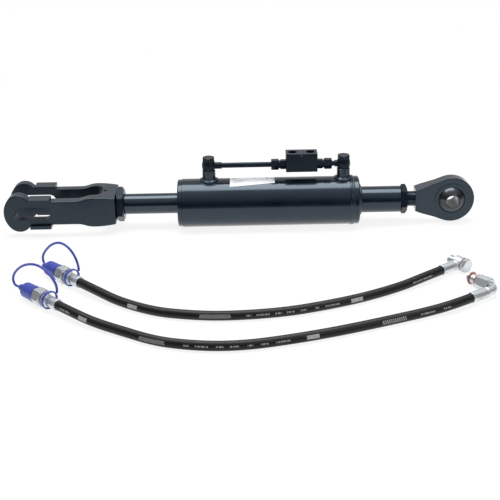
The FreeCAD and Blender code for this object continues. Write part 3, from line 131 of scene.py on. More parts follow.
def mathNode(nodes, links, operation, first, second=None, third=None):
    node = nodes.new("ShaderNodeMath")
    node.operation = operation
    for socket, value in zip(node.inputs, (first, second, third)):
        if value is None:
            continue
        if isinstance(value, (int, float)):
            socket.default_value = value
        else:
            links.new(value, socket)
    return node.outputs[0]


def newGroup(name, inputs, outputs):  # a node group with named sockets: (name, socket type, value)
    group = bpy.data.node_groups.new(name, "ShaderNodeTree")
    for label, kind, value in inputs:
        socket = group.interface.new_socket(name=label, in_out="INPUT", socket_type=kind)
        if value is not None:
            socket.default_value = value
    for label, kind in outputs:
        group.interface.new_socket(name=label, in_out="OUTPUT", socket_type=kind)
    return group, group.nodes.new("NodeGroupInput"), group.nodes.new("NodeGroupOutput")


def noiseNode(nodes, links, scale, detail):  # noise in the piece's own frame; scale is a number or a socket
    place = nodes.new("ShaderNodeTexCoord")
    noise = nodes.new("ShaderNodeTexNoise")
    noise.inputs["Detail"].default_value = detail
    links.new(place.outputs["Object"], noise.inputs["Vector"])
    if isinstance(scale, (int, float)):
        noise.inputs["Scale"].default_value = scale
    else:
        links.new(scale, noise.inputs["Scale"])
    return noise.outputs["Fac"]


def mixColour(nodes, links, factor, first, second):  # first where the factor is 0, second where it is 1
    mix = nodes.new("ShaderNodeMix")
    mix.data_type = "RGBA"
    links.new(factor, mix.inputs[0])
    for socket, value in ((mix.inputs[6], first), (mix.inputs[7], second)):
        if isinstance(value, tuple):
            socket.default_value = solidColour(value)
        else:
            links.new(value, socket)
    return mix.outputs[2]


def rangeNode(nodes, links, value, start, stop, low, high):  # start to stop becomes low to high, held outside
    node = nodes.new("ShaderNodeMapRange")
    links.new(value, node.inputs["Value"])
    for name, number in (("From Min", start), ("From Max", stop), ("To Min", low), ("To Max", high)):
        node.inputs[name].default_value = number
    return node.outputs["Result"]


def bumpNode(nodes, links, height, strength, distance):
    bump = nodes.new("ShaderNodeBump")
    bump.inputs["Strength"].default_value = strength
    bump.inputs["Distance"].default_value = distance
    links.new(height, bump.inputs["Height"])
    return bump.outputs["Normal"]


skinGroupSettings = {"peelScale": 240.0, "peelDetail": 2.0, "grainScale": 1900.0, "grainDetail": 3.0,
                     "cloudScale": 22.0, "cloudDetail": 5.0, "speckScale": 420.0, "speckInner": 0.05,
                     "speckOuter": 0.12}


def makePaintSkin():
    # Height is slow orange peel plus fine grain, Cloud is a broad mask, and Speck is 1 near scattered points
    group, given, result = newGroup(
        "paintSkin",
        [("Scale", "NodeSocketFloat", 1.0), ("Grain", "NodeSocketFloat", 0.3)],
        [("Height", "NodeSocketFloat"), ("Cloud", "NodeSocketFloat"), ("Speck", "NodeSocketFloat")])
    nodes, links, own = group.nodes, group.links, skinGroupSettings
    peelScale = mathNode(nodes, links, "MULTIPLY", given.outputs["Scale"], own["peelScale"])
    peel = noiseNode(nodes, links, peelScale, own["peelDetail"])
    grain = noiseNode(nodes, links, own["grainScale"], own["grainDetail"])
    fine = mathNode(nodes, links, "MULTIPLY", grain, given.outputs["Grain"])
    links.new(mathNode(nodes, links, "ADD", peel, fine), result.inputs["Height"])
    links.new(noiseNode(nodes, links, own["cloudScale"], own["cloudDetail"]), result.inputs["Cloud"])
    place = nodes.new("ShaderNodeTexCoord")
    speck = nodes.new("ShaderNodeTexVoronoi")
    speck.inputs["Scale"].default_value = own["speckScale"]
    links.new(place.outputs["Object"], speck.inputs["Vector"])
    near = rangeNode(nodes, links, speck.outputs["Distance"], own["speckInner"], own["speckOuter"], 1.0, 0.0)
    links.new(near, result.inputs["Speck"])
    return group


paintSkin = makePaintSkin()


def skinNode(nodes, scale, grain=None):  # the shared skin group placed in a material
    skin = nodes.new("ShaderNodeGroup")
    skin.node_tree = paintSkin
    skin.inputs["Scale"].default_value = scale
    if grain is not None:
        skin.inputs["Grain"].default_value = grain
    return skin


paintLooks = {
    "glossPaint": {"colour": (0.0028, 0.0065, 0.0130), "pale": (0.0055, 0.0105, 0.0185), "roughness": 0.17,
                   "spread": 0.06, "scale": 1.0, "grain": 0.05, "bump": 0.045, "coat": 0.12, "gloss": 0.5},
    "forgedPaint": {"colour": (0.0030, 0.0060, 0.0115), "pale": (0.0065, 0.0110, 0.0185), "roughness": 0.38,
                    "spread": 0.12, "scale": 0.9, "grain": 0.22, "bump": 0.35, "coat": 0.05, "gloss": 0.5},
    "fittingPaint": {"colour": (0.003, 0.0055, 0.0105), "pale": (0.006, 0.010, 0.017), "roughness": 0.28,
                     "spread": 0.10, "scale": 1.6, "grain": 0.10, "bump": 0.16, "coat": 0.0, "gloss": 0.22},
    "rodPaint": {"colour": (0.0035, 0.0070, 0.0130), "pale": (0.006, 0.0105, 0.0180), "roughness": 0.13,
                 "spread": 0.05, "scale": 0.8, "grain": 0.03, "bump": 0.03, "coat": 0.25, "gloss": 0.5},
}
paintSettings = {"tint": (0.66, 0.84, 1.0), "dust": (0.10, 0.11, 0.12), "dustShare": 0.12, "coatRoughness": 0.08,
                 "bumpDistance": 0.0006}


def makePaint(name, look):  # paint that pales and dulls where the cloud mask is high, with faint dust points
    material, nodes, links, shader = emptyMaterial(name)
    skin = skinNode(nodes, look["scale"], look["grain"])
    cloudy = rangeNode(nodes, links, skin.outputs["Cloud"], 0.35, 0.75, 0.0, 1.0)
    plain = mixColour(nodes, links, cloudy, look["colour"], look["pale"])
    faint = mathNode(nodes, links, "MULTIPLY", skin.outputs["Speck"], paintSettings["dustShare"])
    dusty = mixColour(nodes, links, faint, plain, paintSettings["dust"])
    low, high = look["roughness"] - look["spread"] / 2, look["roughness"] + look["spread"]
    roughness = rangeNode(nodes, links, skin.outputs["Cloud"], 0.3, 0.8, low, high)
    normal = bumpNode(nodes, links, skin.outputs["Height"], look["bump"], paintSettings["bumpDistance"])
    links.new(dusty, shader.inputs["Base Color"])
    links.new(roughness, shader.inputs["Roughness"])
    links.new(normal, shader.inputs["Normal"])
    shader.inputs["Coat Weight"].default_value = look["coat"]
    shader.inputs["Specular IOR Level"].default_value = look["gloss"]
    shader.inputs["Specular Tint"].default_value = solidColour(paintSettings["tint"])
    shader.inputs["Coat Roughness"].default_value = paintSettings["coatRoughness"]
    return material


metalLooks = {
    "zincPlate": {"colour": (0.58, 0.61, 0.63), "stain": (0.40, 0.43, 0.45), "roughness": 0.32,
                  "scale": 60.0, "metallic": 0.78},
    "turnedSteel": {"colour": (0.60, 0.60, 0.61), "stain": (0.46, 0.46, 0.47), "roughness": 0.28,
                    "scale": 60.0, "metallic": 1.0},
    "ballSteel": {"colour": (0.055, 0.062, 0.070), "stain": (0.035, 0.039, 0.044), "roughness": 0.25,
                  "scale": 45.0, "metallic": 0.85},
    "copperRing": {"colour": (0.40, 0.17, 0.13), "stain": (0.28, 0.12, 0.09), "roughness": 0.40,
                   "scale": 90.0, "metallic": 0.8},
    "bronzeBush": {"colour": (0.62, 0.42, 0.20), "stain": (0.45, 0.30, 0.14), "roughness": 0.35,
                   "scale": 60.0, "metallic": 1.0},
}
metalSettings = {"cloudDetail": 6.0, "stainShare": 0.8, "smoother": 0.06, "rougher": 0.14, "scratchScale": 900.0,
                 "scratchDetail": 2.0, "bump": 0.05, "bumpDistance": 0.0003}


def makeMetal(name, look):  # metal stained in clouds, which are rougher too, under very fine scratches
    material, nodes, links, shader = emptyMaterial(name)
    own = metalSettings
    cloud = noiseNode(nodes, links, look["scale"], own["cloudDetail"])
    patchy = rangeNode(nodes, links, cloud, 0.45, 0.75, 0.0, own["stainShare"])
    low, high = look["roughness"] - own["smoother"], look["roughness"] + own["rougher"]
    roughness = rangeNode(nodes, links, cloud, 0.3, 0.8, low, high)
    scratch = noiseNode(nodes, links, own["scratchScale"], own["scratchDetail"])
    normal = bumpNode(nodes, links, scratch, own["bump"], own["bumpDistance"])
    links.new(mixColour(nodes, links, patchy, look["colour"], look["stain"]), shader.inputs["Base Color"])
    links.new(roughness, shader.inputs["Roughness"])
    links.new(normal, shader.inputs["Normal"])
    shader.inputs["Metallic"].default_value = look["metallic"]
    return material


plasticLooks = {
    "bluePlastic": {"colour": (0.030, 0.047, 0.310), "pale": (0.042, 0.064, 0.370), "roughness": 0.40},
    "sealRubber": {"colour": (0.014, 0.014, 0.015), "pale": (0.022, 0.022, 0.023), "roughness": 0.5},
    "guidePlastic": {"colour": (0.30, 0.25, 0.17), "pale": (0.36, 0.31, 0.22), "roughness": 0.5},
}
plasticSettings = {"scale": 2.0, "grain": 0.25, "smoother": 0.04, "rougher": 0.08, "bump": 0.12,
                   "bumpDistance": 0.0004}


def makePlastic(name, look):
    material, nodes, links, shader = emptyMaterial(name)
    own = plasticSettings
    skin = skinNode(nodes, own["scale"], own["grain"])
    colour = mixColour(nodes, links, skin.outputs["Cloud"], look["colour"], look["pale"])
    low, high = look["roughness"] - own["smoother"], look["roughness"] + own["rougher"]
    roughness = rangeNode(nodes, links, skin.outputs["Cloud"], 0.3, 0.8, low, high)
    normal = bumpNode(nodes, links, skin.outputs["Height"], own["bump"], own["bumpDistance"])
    links.new(colour, shader.inputs["Base Color"])
    links.new(roughness, shader.inputs["Roughness"])
    links.new(normal, shader.inputs["Normal"])
    return material


# Print on each hose, as (start, length) in metres along it: plain bars, dashes and blocks
hosePrint = {
    "upperHose": {
        "bars": [(0.2473, 0.0467)],
        "blocks": [(0.1197, 0.0206), (0.4974, 0.0208)],
        "dashes": [(0.3196, 0.008), (0.3357, 0.0211), (0.365, 0.0115), (0.3848, 0.0134), (0.4066, 0.012),
                   (0.4308, 0.0088), (0.4502, 0.0252), (0.6222, 0.0416)]},
    "lowerHose": {
        "bars": [(0.1786, 0.0446), (0.5685, 0.0415)],
        "blocks": [(0.057, 0.0173), (0.4387, 0.0213)],
        "dashes": [(0.0129, 0.023), (0.2521, 0.0063), (0.2693, 0.02), (0.3, 0.0106), (0.3212, 0.0137),
                   (0.3455, 0.0107), (0.3671, 0.0109), (0.3906, 0.0239), (0.6374, 0.0257), (0.6777, 0.0153)]},
}
printSettings = {"height": 0.46, "around": 0.13, "pitch": 0.0036, "slant": 0.035, "stripe": 0.42,
                 "tickScale": 620.0, "tickShare": 0.49, "ink": (0.40, 0.40, 0.42)}
rubberSettings = {"colour": (0.0045, 0.0045, 0.0055), "wornScale": 700.0, "wornDetail": 2.0, "wraps": 190.0,
                  "twist": 3.0, "wobble": 0.4, "grain": 0.4, "bump": 0.22, "bumpDistance": 0.0002, "gloss": 0.28}


def surfaceParts(nodes, links):  # the two coordinates of a piece's own map, along it and round it
    surface = nodes.new("ShaderNodeUVMap")
    surface.uv_map = "alongRound"
    parts = nodes.new("ShaderNodeSeparateXYZ")
    links.new(surface.outputs["UV"], parts.inputs[0])
    return parts.outputs["X"], parts.outputs["Y"]


def spanMask(nodes, links, along, spans, total):  # 1 inside any of the spans, by a ramp with sharp steps
    black, white = solidColour((0, 0, 0)), solidColour((1, 1, 1))
    ramp = nodes.new("ShaderNodeValToRGB")
    ramp.color_ramp.interpolation = "CONSTANT"
    elements = ramp.color_ramp.elements
    elements[0].position, elements[0].color = 0.0, black
    elements[1].position, elements[1].color = 1.0, black
    for start, length in spans:
        elements.new(start / total).color = white
        elements.new((start + length) / total).color = black
    links.new(along, ramp.inputs["Fac"])
    return ramp.outputs["Color"]


def hoseInk(nodes, links, marks, along, around, metres, total):
    # 1 where there is print: slanted stripes in the bars, short ticks in the dashes, and full blocks
    offset = mathNode(nodes, links, "SUBTRACT", around, printSettings["height"])
    reach = mathNode(nodes, links, "ABSOLUTE", offset)
    bandWide = mathNode(nodes, links, "LESS_THAN", reach, printSettings["around"] / 2)
    bandThin = mathNode(nodes, links, "LESS_THAN", reach, printSettings["around"] / 5)
    bars = spanMask(nodes, links, along, marks["bars"], total)
    dashes = spanMask(nodes, links, along, marks["dashes"], total)
    blocks = spanMask(nodes, links, along, marks["blocks"], total)
    slant = mathNode(nodes, links, "MULTIPLY_ADD", offset, printSettings["slant"], metres)
    share = mathNode(nodes, links, "FRACT", mathNode(nodes, links, "DIVIDE", slant, printSettings["pitch"]))
    stripes = mathNode(nodes, links, "LESS_THAN", share, printSettings["stripe"])
    tick = nodes.new("ShaderNodeTexNoise")
    tick.noise_dimensions = "1D"
    tick.inputs["Scale"].default_value = printSettings["tickScale"]
    links.new(metres, tick.inputs["W"])
    ticks = mathNode(nodes, links, "GREATER_THAN", tick.outputs["Fac"], printSettings["tickShare"])
    barInk = mathNode(nodes, links, "MULTIPLY", mathNode(nodes, links, "MULTIPLY", bars, stripes), bandWide)
    dashInk = mathNode(nodes, links, "MULTIPLY", mathNode(nodes, links, "MULTIPLY", dashes, ticks), bandThin)
    blockInk = mathNode(nodes, links, "MULTIPLY", blocks, bandWide)
    return mathNode(nodes, links, "MAXIMUM", mathNode(nodes, links, "MAXIMUM", barInk, dashInk), blockInk)


def makeHoseRubber(name, marks, total):  # U runs along the hose from 0 to 1, V runs round it
    material, nodes, links, shader = emptyMaterial(name)
    own = rubberSettings
    along, around = surfaceParts(nodes, links)
    metres = mathNode(nodes, links, "MULTIPLY", along, total)
    ink = hoseInk(nodes, links, marks, along, around, metres, total)
    worn = noiseNode(nodes, links, own["wornScale"], own["wornDetail"])
    kept = mathNode(nodes, links, "MULTIPLY", ink, rangeNode(nodes, links, worn, 0.3, 0.6, 0.45, 0.95))
    wrap = nodes.new("ShaderNodeTexWave")
    wrap.inputs["Scale"].default_value = 1.0
    wrap.inputs["Distortion"].default_value = own["wobble"]
    weave = nodes.new("ShaderNodeCombineXYZ")
    links.new(mathNode(nodes, links, "MULTIPLY", metres, own["wraps"]), weave.inputs["X"])
    links.new(mathNode(nodes, links, "MULTIPLY", around, own["twist"]), weave.inputs["Y"])
    links.new(weave.outputs["Vector"], wrap.inputs["Vector"])
    height = mathNode(nodes, links, "MULTIPLY_ADD", worn, own["grain"], wrap.outputs["Fac"])
    links.new(mixColour(nodes, links, kept, own["colour"], printSettings["ink"]), shader.inputs["Base Color"])
    links.new(bumpNode(nodes, links, height, own["bump"], own["bumpDistance"]), shader.inputs["Normal"])
    links.new(rangeNode(nodes, links, worn, 0.3, 0.7, 0.36, 0.50), shader.inputs["Roughness"])
    shader.inputs["Specular IOR Level"].default_value = own["gloss"]
    return material


looks = {}
for makeLook, lookTable in ((makePaint, paintLooks), (makeMetal, metalLooks), (makePlastic, plasticLooks)):
    for lookName, lookValues in lookTable.items():
        looks[lookName] = makeLook(lookName, lookValues)
print("materials made,", len(looks))

slotLooks = {
    "paint": "glossPaint",
    "forged_paint": "forgedPaint",
    "fitting_paint": "fittingPaint",
    "rod_paint": "rodPaint",
    "steel": "turnedSteel",
    "ball_steel": "ballSteel",
    "zinc": "zincPlate",
    "copper": "copperRing",
    "bronze": "bronzeBush",
    "hose_rubber": "sealRubber",
    "seal_rubber": "sealRubber",
    "guide_plastic": "guidePlastic",
    "blue_plastic": "bluePlastic",
}
for node, slot in slotOf.items():
    nodeMaterials = frame["nodes"][node].data.materials
    nodeMaterials.clear()
    nodeMaterials.append(looks[slotLooks[slot]])

# Surfaces

smoothAngle = 40.0  # degrees past which an edge of a worked out surface stays sharp


def gridPiece(name, sheets, material, closeEnds=False):
    # each sheet is an array (along, around, 3), closed around: quads join neighbours, and flat faces may
    # close the ends
    points, faces, first = [], [], 0
    for rows in sheets:
        along, around = rows.shape[:2]
        i, j = np.meshgrid(np.arange(along - 1), np.arange(around), indexing="ij")
        here, there = i * around, (i + 1) * around
        nextJ = (j + 1) % around
        quads = np.stack((here + j, here + nextJ, there + nextJ, there + j), axis=-1)
        faces += (quads.reshape(-1, 4) + first).tolist()
        if closeEnds:
            faces.append(list(range(first, first + around))[::-1])
            faces.append(list(range(first + (along - 1) * around, first + along * around)))
        points.append(rows.reshape(-1, 3))
        first += along * around
    mesh = bpy.data.meshes.new(name)
    mesh.from_pydata(np.concatenate(points).tolist(), [], faces)
    mesh.materials.append(material)
    mesh.polygons.foreach_set("use_smooth", [True] * len(mesh.polygons))
    mesh.set_sharp_from_angle(angle=math.radians(smoothAngle))
    piece = bpy.data.objects.new(name, mesh)
    scene.collection.objects.link(piece)
    return piece


def meshPoints(mesh):  # the mesh's points as rows of three numbers
    found = np.empty(len(mesh.vertices) * 3)
    mesh.vertices.foreach_get("co", found)
    return found.reshape(-1, 3)


def splineLine(name, points):  # the smooth line of a route: a NURBS of order 3 with the points as controls
    data = bpy.data.curves.new(name, "CURVE")
    data.dimensions = "3D"
    spline = data.splines.new("NURBS")
    spline.points.add(len(points) - 1)
    spline.points.foreach_set("co", [value for point in points for value in (*point, 1.0)])
    spline.order_u = 3
    spline.use_endpoint_u = True
    spline.resolution_u = 24
    holder = bpy.data.objects.new(name, data)
    scene.collection.objects.link(holder)
    bpy.context.view_layer.update()
    line = bpy.data.meshes.new_from_object(holder)
    found = meshPoints(line)
    bpy.data.objects.remove(holder)
    bpy.data.curves.remove(data)
    bpy.data.meshes.remove(line)
    return found


def distances(line):  # how far each point lies along the line
    return np.concatenate(([0.0], np.cumsum(np.linalg.norm(np.diff(line, axis=0), axis=1))))


def evenly(line, step):  # the same line with even steps, and the distance of each point along it
    distance = distances(line)
    wanted = np.linspace(0.0, distance[-1], int(distance[-1] / step))
    return np.stack([np.interp(wanted, distance, line[:, axis]) for axis in range(3)], axis=1), wanted


def tubeRows(line, radius, sideways, around):
    # rings square to the line: centre + radius * (cos a * up + sin a * side), with side near the given direction
    tangent = np.gradient(line, axis=0)
    tangent /= np.linalg.norm(tangent, axis=1, keepdims=True)
    up = np.cross(sideways, tangent)
    up /= np.linalg.norm(up, axis=1, keepdims=True)
    side = np.cross(tangent, up)
    angle = np.linspace(0.0, 2 * math.pi, around, endpoint=False)[None, :, None]
    radius = np.broadcast_to(np.asarray(radius, dtype=float), (len(line),))[:, None, None]
    return line[:, None, :] + radius * (np.cos(angle) * up[:, None, :] + np.sin(angle) * side[:, None, :])


def addUV(piece, along, around):  # U from 0 to 1 along the rows, V from 0 to 1 round them, seam kept open
    mesh = piece.data
    layer = mesh.uv_layers.new(name="alongRound")
    corner = np.empty(len(mesh.loops), dtype=int)
    mesh.loops.foreach_get("vertex_index", corner)
    row, column = corner // around, corner % around
    starts = np.empty(len(mesh.polygons), dtype=int)
    totals = np.empty(len(mesh.polygons), dtype=int)
    mesh.polygons.foreach_get("loop_start", starts)
    mesh.polygons.foreach_get("loop_total", totals)
    face = np.repeat(np.arange(len(starts)), totals)
    wraps = np.zeros(len(starts), dtype=bool)
    np.logical_or.at(wraps, face, column == around - 1)
    v = column / around
    v = np.where(wraps[face] & (column == 0), 1.0, v)
    uv = np.stack((row / (along - 1), v), axis=-1)
    layer.data.foreach_set("uv", uv.ravel())


def placed(place, rows):  # the rows turned and moved from a piece's own frame into the model's
    turn = np.array(place.to_3x3())
    return rows @ turn.T + np.array(place.translation)


def lathe(place, along, radius, around):
    # rings about the X axis of place: (along, radius * cos angle, radius * sin angle)
    angle = np.linspace(0.0, 2 * math.pi, around, endpoint=False)
    radius = np.broadcast_to(np.asarray(radius), (len(along), around))
    flat = np.broadcast_to(np.asarray(along)[:, None], radius.shape)
    return placed(place, np.stack((flat, radius * np.cos(angle), radius * np.sin(angle)), axis=-1))


# Skins: copies of the solids with their doubles merged, smooth faces and bevelled edges

skinWidths = {  # bevel of each node's edges, in metres
    0.0012: ["fork"],
    0.0008: ["eye", "upper_dust_cap", "lower_dust_cap", "upper_cap_ring", "lower_cap_ring"],
    0.0005: ["fork_lock_nut", "eye_lock_nut", "valve_block", "union_nuts", "rod_side_adapter",
             "base_side_adapter", "rod_side_bolt", "base_side_bolt", "base_cap", "rod_gland", "upper_coupler",
             "lower_coupler", "upper_banjo_eye", "upper_banjo_bolt", "lower_elbow", "lower_swivel_nut",
             "lower_adapter"],
    0.0003: ["barrel_tube", "extension_tube", "rod_side_boss", "base_side_boss", "rod_side_union",
             "base_side_union", "union_washers", "copper_washers", "piston_rod", "long_pipe", "short_pipe",
             "ball", "rod_wiper"],
}
skinSettings = {"merge": 1e-6, "flat": 0.8, "sharp": 28.0, "bevelFrom": 30.0, "segments": 2,
                "threadSlack": 0.0001}
skinTurns = {"fork_lock_nut": 13.4, "eye_lock_nut": 27.3}  # degrees that each lock nut has turned on its thread


def sinkShank(mesh, thread):
    # the radius of each point of the shank between start and stop goes down to the thread's root
    place, root = thread["place"], thread["root"]
    own = placed(place.inverted(), meshPoints(mesh))
    along, reach = own[:, 0], np.hypot(own[:, 1], own[:, 2])
    within = (along > thread["start"]) & (along < thread["stop"])
    onShank = within & (reach < thread["crest"] + skinSettings["threadSlack"]) & (reach > root)
    own[:, 1:] *= np.where(onShank, root / np.maximum(reach, root), 1.0)[:, None]
    mesh.vertices.foreach_set("co", placed(place, own).ravel())


def copySolid(node, thread=None):
    shape = bmesh.new()
    shape.from_mesh(frame["nodes"][node].data)
    bmesh.ops.remove_doubles(shape, verts=shape.verts, dist=skinSettings["merge"])
    bmesh.ops.dissolve_limit(shape, angle_limit=math.radians(skinSettings["flat"]), verts=shape.verts,
                             edges=shape.edges)
    turn = Matrix.Rotation(math.radians(skinTurns.get(node, 0.0)), 3, "X")
    bmesh.ops.rotate(shape, verts=shape.verts, cent=(0.0, 0.0, 0.0), matrix=turn)
    mesh = bpy.data.meshes.new(node + "Skin")
    shape.to_mesh(mesh)
    shape.free()
    if thread:
        sinkShank(mesh, thread)
    mesh.materials.append(looks[slotLooks[slotOf[node]]])
    mesh.polygons.foreach_set("use_smooth", [True] * len(mesh.polygons))
    mesh.set_sharp_from_angle(angle=math.radians(skinSettings["sharp"]))
    piece = bpy.data.objects.new(node + "Skin", mesh)
    scene.collection.objects.link(piece)
    return piece


def makeSkin(node, width, thread):
    piece = copySolid(node, thread)
    edge = piece.modifiers.new("edges", "BEVEL")
    edge.width = width
    edge.segments = skinSettings["segments"]
    edge.limit_method = "ANGLE"
    edge.angle_limit = math.radians(skinSettings["bevelFrom"])
    even = piece.modifiers.new("normals", "WEIGHTED_NORMAL")
    even.keep_sharp = True
    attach(piece, bodyOf[node])
    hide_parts(node)


# Springs: each is a merged copy of its solid, left where the solid lies; it does not shorten with its poppet

valvePlace = Matrix.Translation((0.0, 0.0, layout["valveHeight"]))
springs = {  # spring: (poppet's body, place, end on the seat, end on the poppet), along the place's X axis
    "rod_side_spring": ("rod_side_poppet", valvePlace, -0.31845, -0.31065),
    "base_side_spring": ("base_side_poppet", valvePlace, -0.26055, -0.26835),
    "upper_poppet_spring": ("upper_coupler_poppet", upperCouplerPlace, 0.0430, 0.0314),
    "lower_poppet_spring": ("lower_coupler_poppet", lowerCouplerPlace, 0.0430, 0.0314),
}


def makeSpring(node, poppet, place, seat, front):
    piece = copySolid(node)
    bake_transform(piece)
    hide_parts(node)


# Threads: a ridge that runs round the shank once in each pitch

threads = {
    "eyeThread": {"node": "eye", "place": Matrix.Identity(4), "start": -0.158, "stop": -0.0695, "crest": 0.015,
                  "root": 0.0142, "pitch": 0.0025},
    "studThread": {"node": "lower_adapter", "place": crossPlace(lowerEndPlace, layout["elbowReach"]),
                   "start": 0.0405, "stop": 0.0594, "crest": 0.00833, "root": 0.00745, "pitch": 0.0015},
    "banjoThread": {"node": "upper_banjo_bolt", "place": crossPlace(upperEndPlace, layout["banjoReach"]),
                    "start": 0.0108, "stop": 0.0230, "crest": 0.00833, "root": 0.00745, "pitch": 0.0015},
}
ridgeSettings = {"stepsPerPitch": 8, "around": 48, "flatten": 1.25}


def makeThread(name, thread):
    # radius = root + (crest - root) * triangle wave of (distance / pitch - angle / turn), with flattened
    # crests, faded at both ends
    start, stop, pitch = thread["start"], thread["stop"], thread["pitch"]
    along = np.linspace(start, stop, int((stop - start) / pitch * ridgeSettings["stepsPerPitch"]))
    turn = np.linspace(0.0, 1.0, ridgeSettings["around"], endpoint=False)
    wave = 1.0 - np.abs(2.0 * np.mod(along[:, None] / pitch - turn[None, :], 1.0) - 1.0)
    wave = np.clip(wave * ridgeSettings["flatten"], 0.0, 1.0)
    fade = np.clip(np.minimum(along - start, stop - along) / pitch, 0.0, 1.0)[:, None]
    radius = thread["root"] + (thread["crest"] - thread["root"]) * wave * fade
    node = thread["node"]
    rows = lathe(thread["place"], along, radius, ridgeSettings["around"])
    piece = gridPiece(name, [rows], looks[slotLooks[slotOf[node]]], closeEnds=True)
    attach(piece, bodyOf[node])


# Crimped sleeves on the hoses: a collar at each end and eight pressed flats between them

sleeveSettings = {"bore": 0.00605, "collar": 0.002, "ramp": 0.0014, "round": 0.0008, "sides": 8, "waist": 0.965,
                  "flat": 0.925, "around": 96, "steps": 60, "couplerRadius": 0.0102, "endRadius": 0.0093,
                  "couplerLength": 0.036, "upperEndLength": 0.035, "lowerEndLength": 0.037}


def sleeveRows(place, length, radius):
    # between the collars the radius is the smaller of waist and flat / cos(angle from the middle of a side),
    # both shares of the collar's radius; the first and last rings lie in the bore, and the last row joins them
    collar, ramp, edge = sleeveSettings["collar"], sleeveSettings["ramp"], sleeveSettings["round"]
    middle = np.linspace(edge * 1.5, length - edge * 1.5, sleeveSettings["steps"])
    corner = np.array([0.0, 0.0, edge * 0.3, edge])
    along = np.concatenate((corner, middle, length - corner[::-1]))
    angle = np.linspace(0.0, 2 * math.pi, sleeveSettings["around"], endpoint=False)
    side = 2 * math.pi / sleeveSettings["sides"]
    flat = radius * sleeveSettings["flat"] / np.cos(np.mod(angle, side) - side / 2)
    pressed = np.minimum(radius * sleeveSettings["waist"], flat)
    into = np.clip((np.minimum(along, length - along) - collar) / ramp, 0.0, 1.0)
    into = (into * into * (3 - 2 * into))[:, None]
    reach = radius * (1 - into) + pressed[None, :] * into
    reach[[1, -2]] -= edge
    reach[[2, -3]] -= edge * 0.4
    reach[[0, -1]] = sleeveSettings["bore"]
    rows = lathe(place, along, reach, sleeveSettings["around"])
    return np.concatenate((rows, rows[:1]))


def makeSleeves(name, node, couplerPlace, endPlace, endLength):
    couplerSleeve = sleeveRows(couplerPlace @ Matrix.Translation((layout["ferruleStart"], 0, 0)),
                               sleeveSettings["couplerLength"], sleeveSettings["couplerRadius"])
    endSleeve = sleeveRows(endPlace, endLength, sleeveSettings["endRadius"])
    piece = gridPiece(name, [couplerSleeve, endSleeve], looks["zincPlate"])
    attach(piece, "barrel")
    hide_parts(node)


# Weld beads: a round bead along the seam, with one ripple for each drop of the weld

ringBeads = {  # place along the arm, radius of the ring, radius of the bead
    "capBead": (-0.1912, 0.0455, 0.0025),
    "neckBead": (-0.1768, 0.0275, 0.0027),
}
bossBeads = {"rodSideBead": -0.467, "baseSideBead": -0.209}  # place of the boss along the arm
beadSettings = {"bossReach": 0.0158, "bossRadius": 0.0024, "pitch": 0.0027, "ripple": 0.08, "sink": 0.0004,
                "around": 14, "ringSteps": 560, "bossSteps": 220}


def beadPiece(name, line, radius, sideways):
    # radius = bead * (1 - ripple + ripple * |cos(pi * distance / pitch)|)
    ripple = np.abs(np.cos(math.pi * distances(line) / beadSettings["pitch"]))
    sized = radius * (1.0 - beadSettings["ripple"] + beadSettings["ripple"] * ripple)
    rows = tubeRows(line, sized, np.array(sideways), beadSettings["around"])
    piece = gridPiece(name, [rows], looks["glossPaint"], closeEnds=True)
    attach(piece, "barrel")


def makeRingBead(name, x, reach, radius):  # a circle about the arm's own axis, its ends under the arm
    angle = np.linspace(-0.5 * math.pi, 1.5 * math.pi, beadSettings["ringSteps"])
    line = np.stack((np.full(len(angle), x), reach * np.cos(angle), reach * np.sin(angle)), axis=-1)
    beadPiece(name, line, radius, (1.0, 0.0, 0.0))


def makeBossBead(name, centre):
    # a circle about the boss laid on the barrel: height = sqrt(barrel radius squared - sideways squared)
    angle = np.linspace(0.5 * math.pi, 2.5 * math.pi, beadSettings["bossSteps"])
    reach, radius = beadSettings["bossReach"], layout["barrelRadius"] + beadSettings["sink"]
    x = centre + reach * np.cos(angle)
    y = reach * np.sin(angle)
    line = np.stack((x, y, np.sqrt(radius ** 2 - y ** 2)), axis=-1)
    beadPiece(name, line, beadSettings["bossRadius"], (0.0, 0.0, 1.0))


# Hoses: from the coupler's ferrule over the floor to the other ferrule, by x, y and lift above the hose level

hoseRoutes = {
    "upperHose": {
        "coupler": upperCouplerPlace, "lead": layout["upperLead"], "end": upperEndPlace,
        "floor": [(-0.6076, -0.3585, 0.0006), (-0.5475, -0.3960, 0.0), (-0.4975, -0.4095, 0.0),
                  (-0.4490, -0.4165, 0.0), (-0.3930, -0.4145, 0.0), (-0.3320, -0.4055, 0.0),
                  (-0.2760, -0.3875, 0.0), (-0.2202, -0.3651, 0.0), (-0.1754, -0.3415, 0.0),
                  (-0.1311, -0.3145, 0.0005)]},
    "lowerHose": {
        "coupler": lowerCouplerPlace, "lead": layout["lowerLead"], "end": lowerEndPlace,
        "floor": [(-0.6400, -0.4335, 0.0012), (-0.5940, -0.4625, 0.0), (-0.5395, -0.4980, 0.0),
                  (-0.4900, -0.5130, 0.0), (-0.4400, -0.5195, 0.0), (-0.3880, -0.5155, 0.0),
                  (-0.3220, -0.4985, 0.0), (-0.2620, -0.4790, 0.0), (-0.2100, -0.4590, 0.0),
                  (-0.1560, -0.4365, 0.0), (-0.1080, -0.4170, 0.0006)]},
}
hoseSettings = {"radius": 0.008, "step": 0.002, "around": 40}


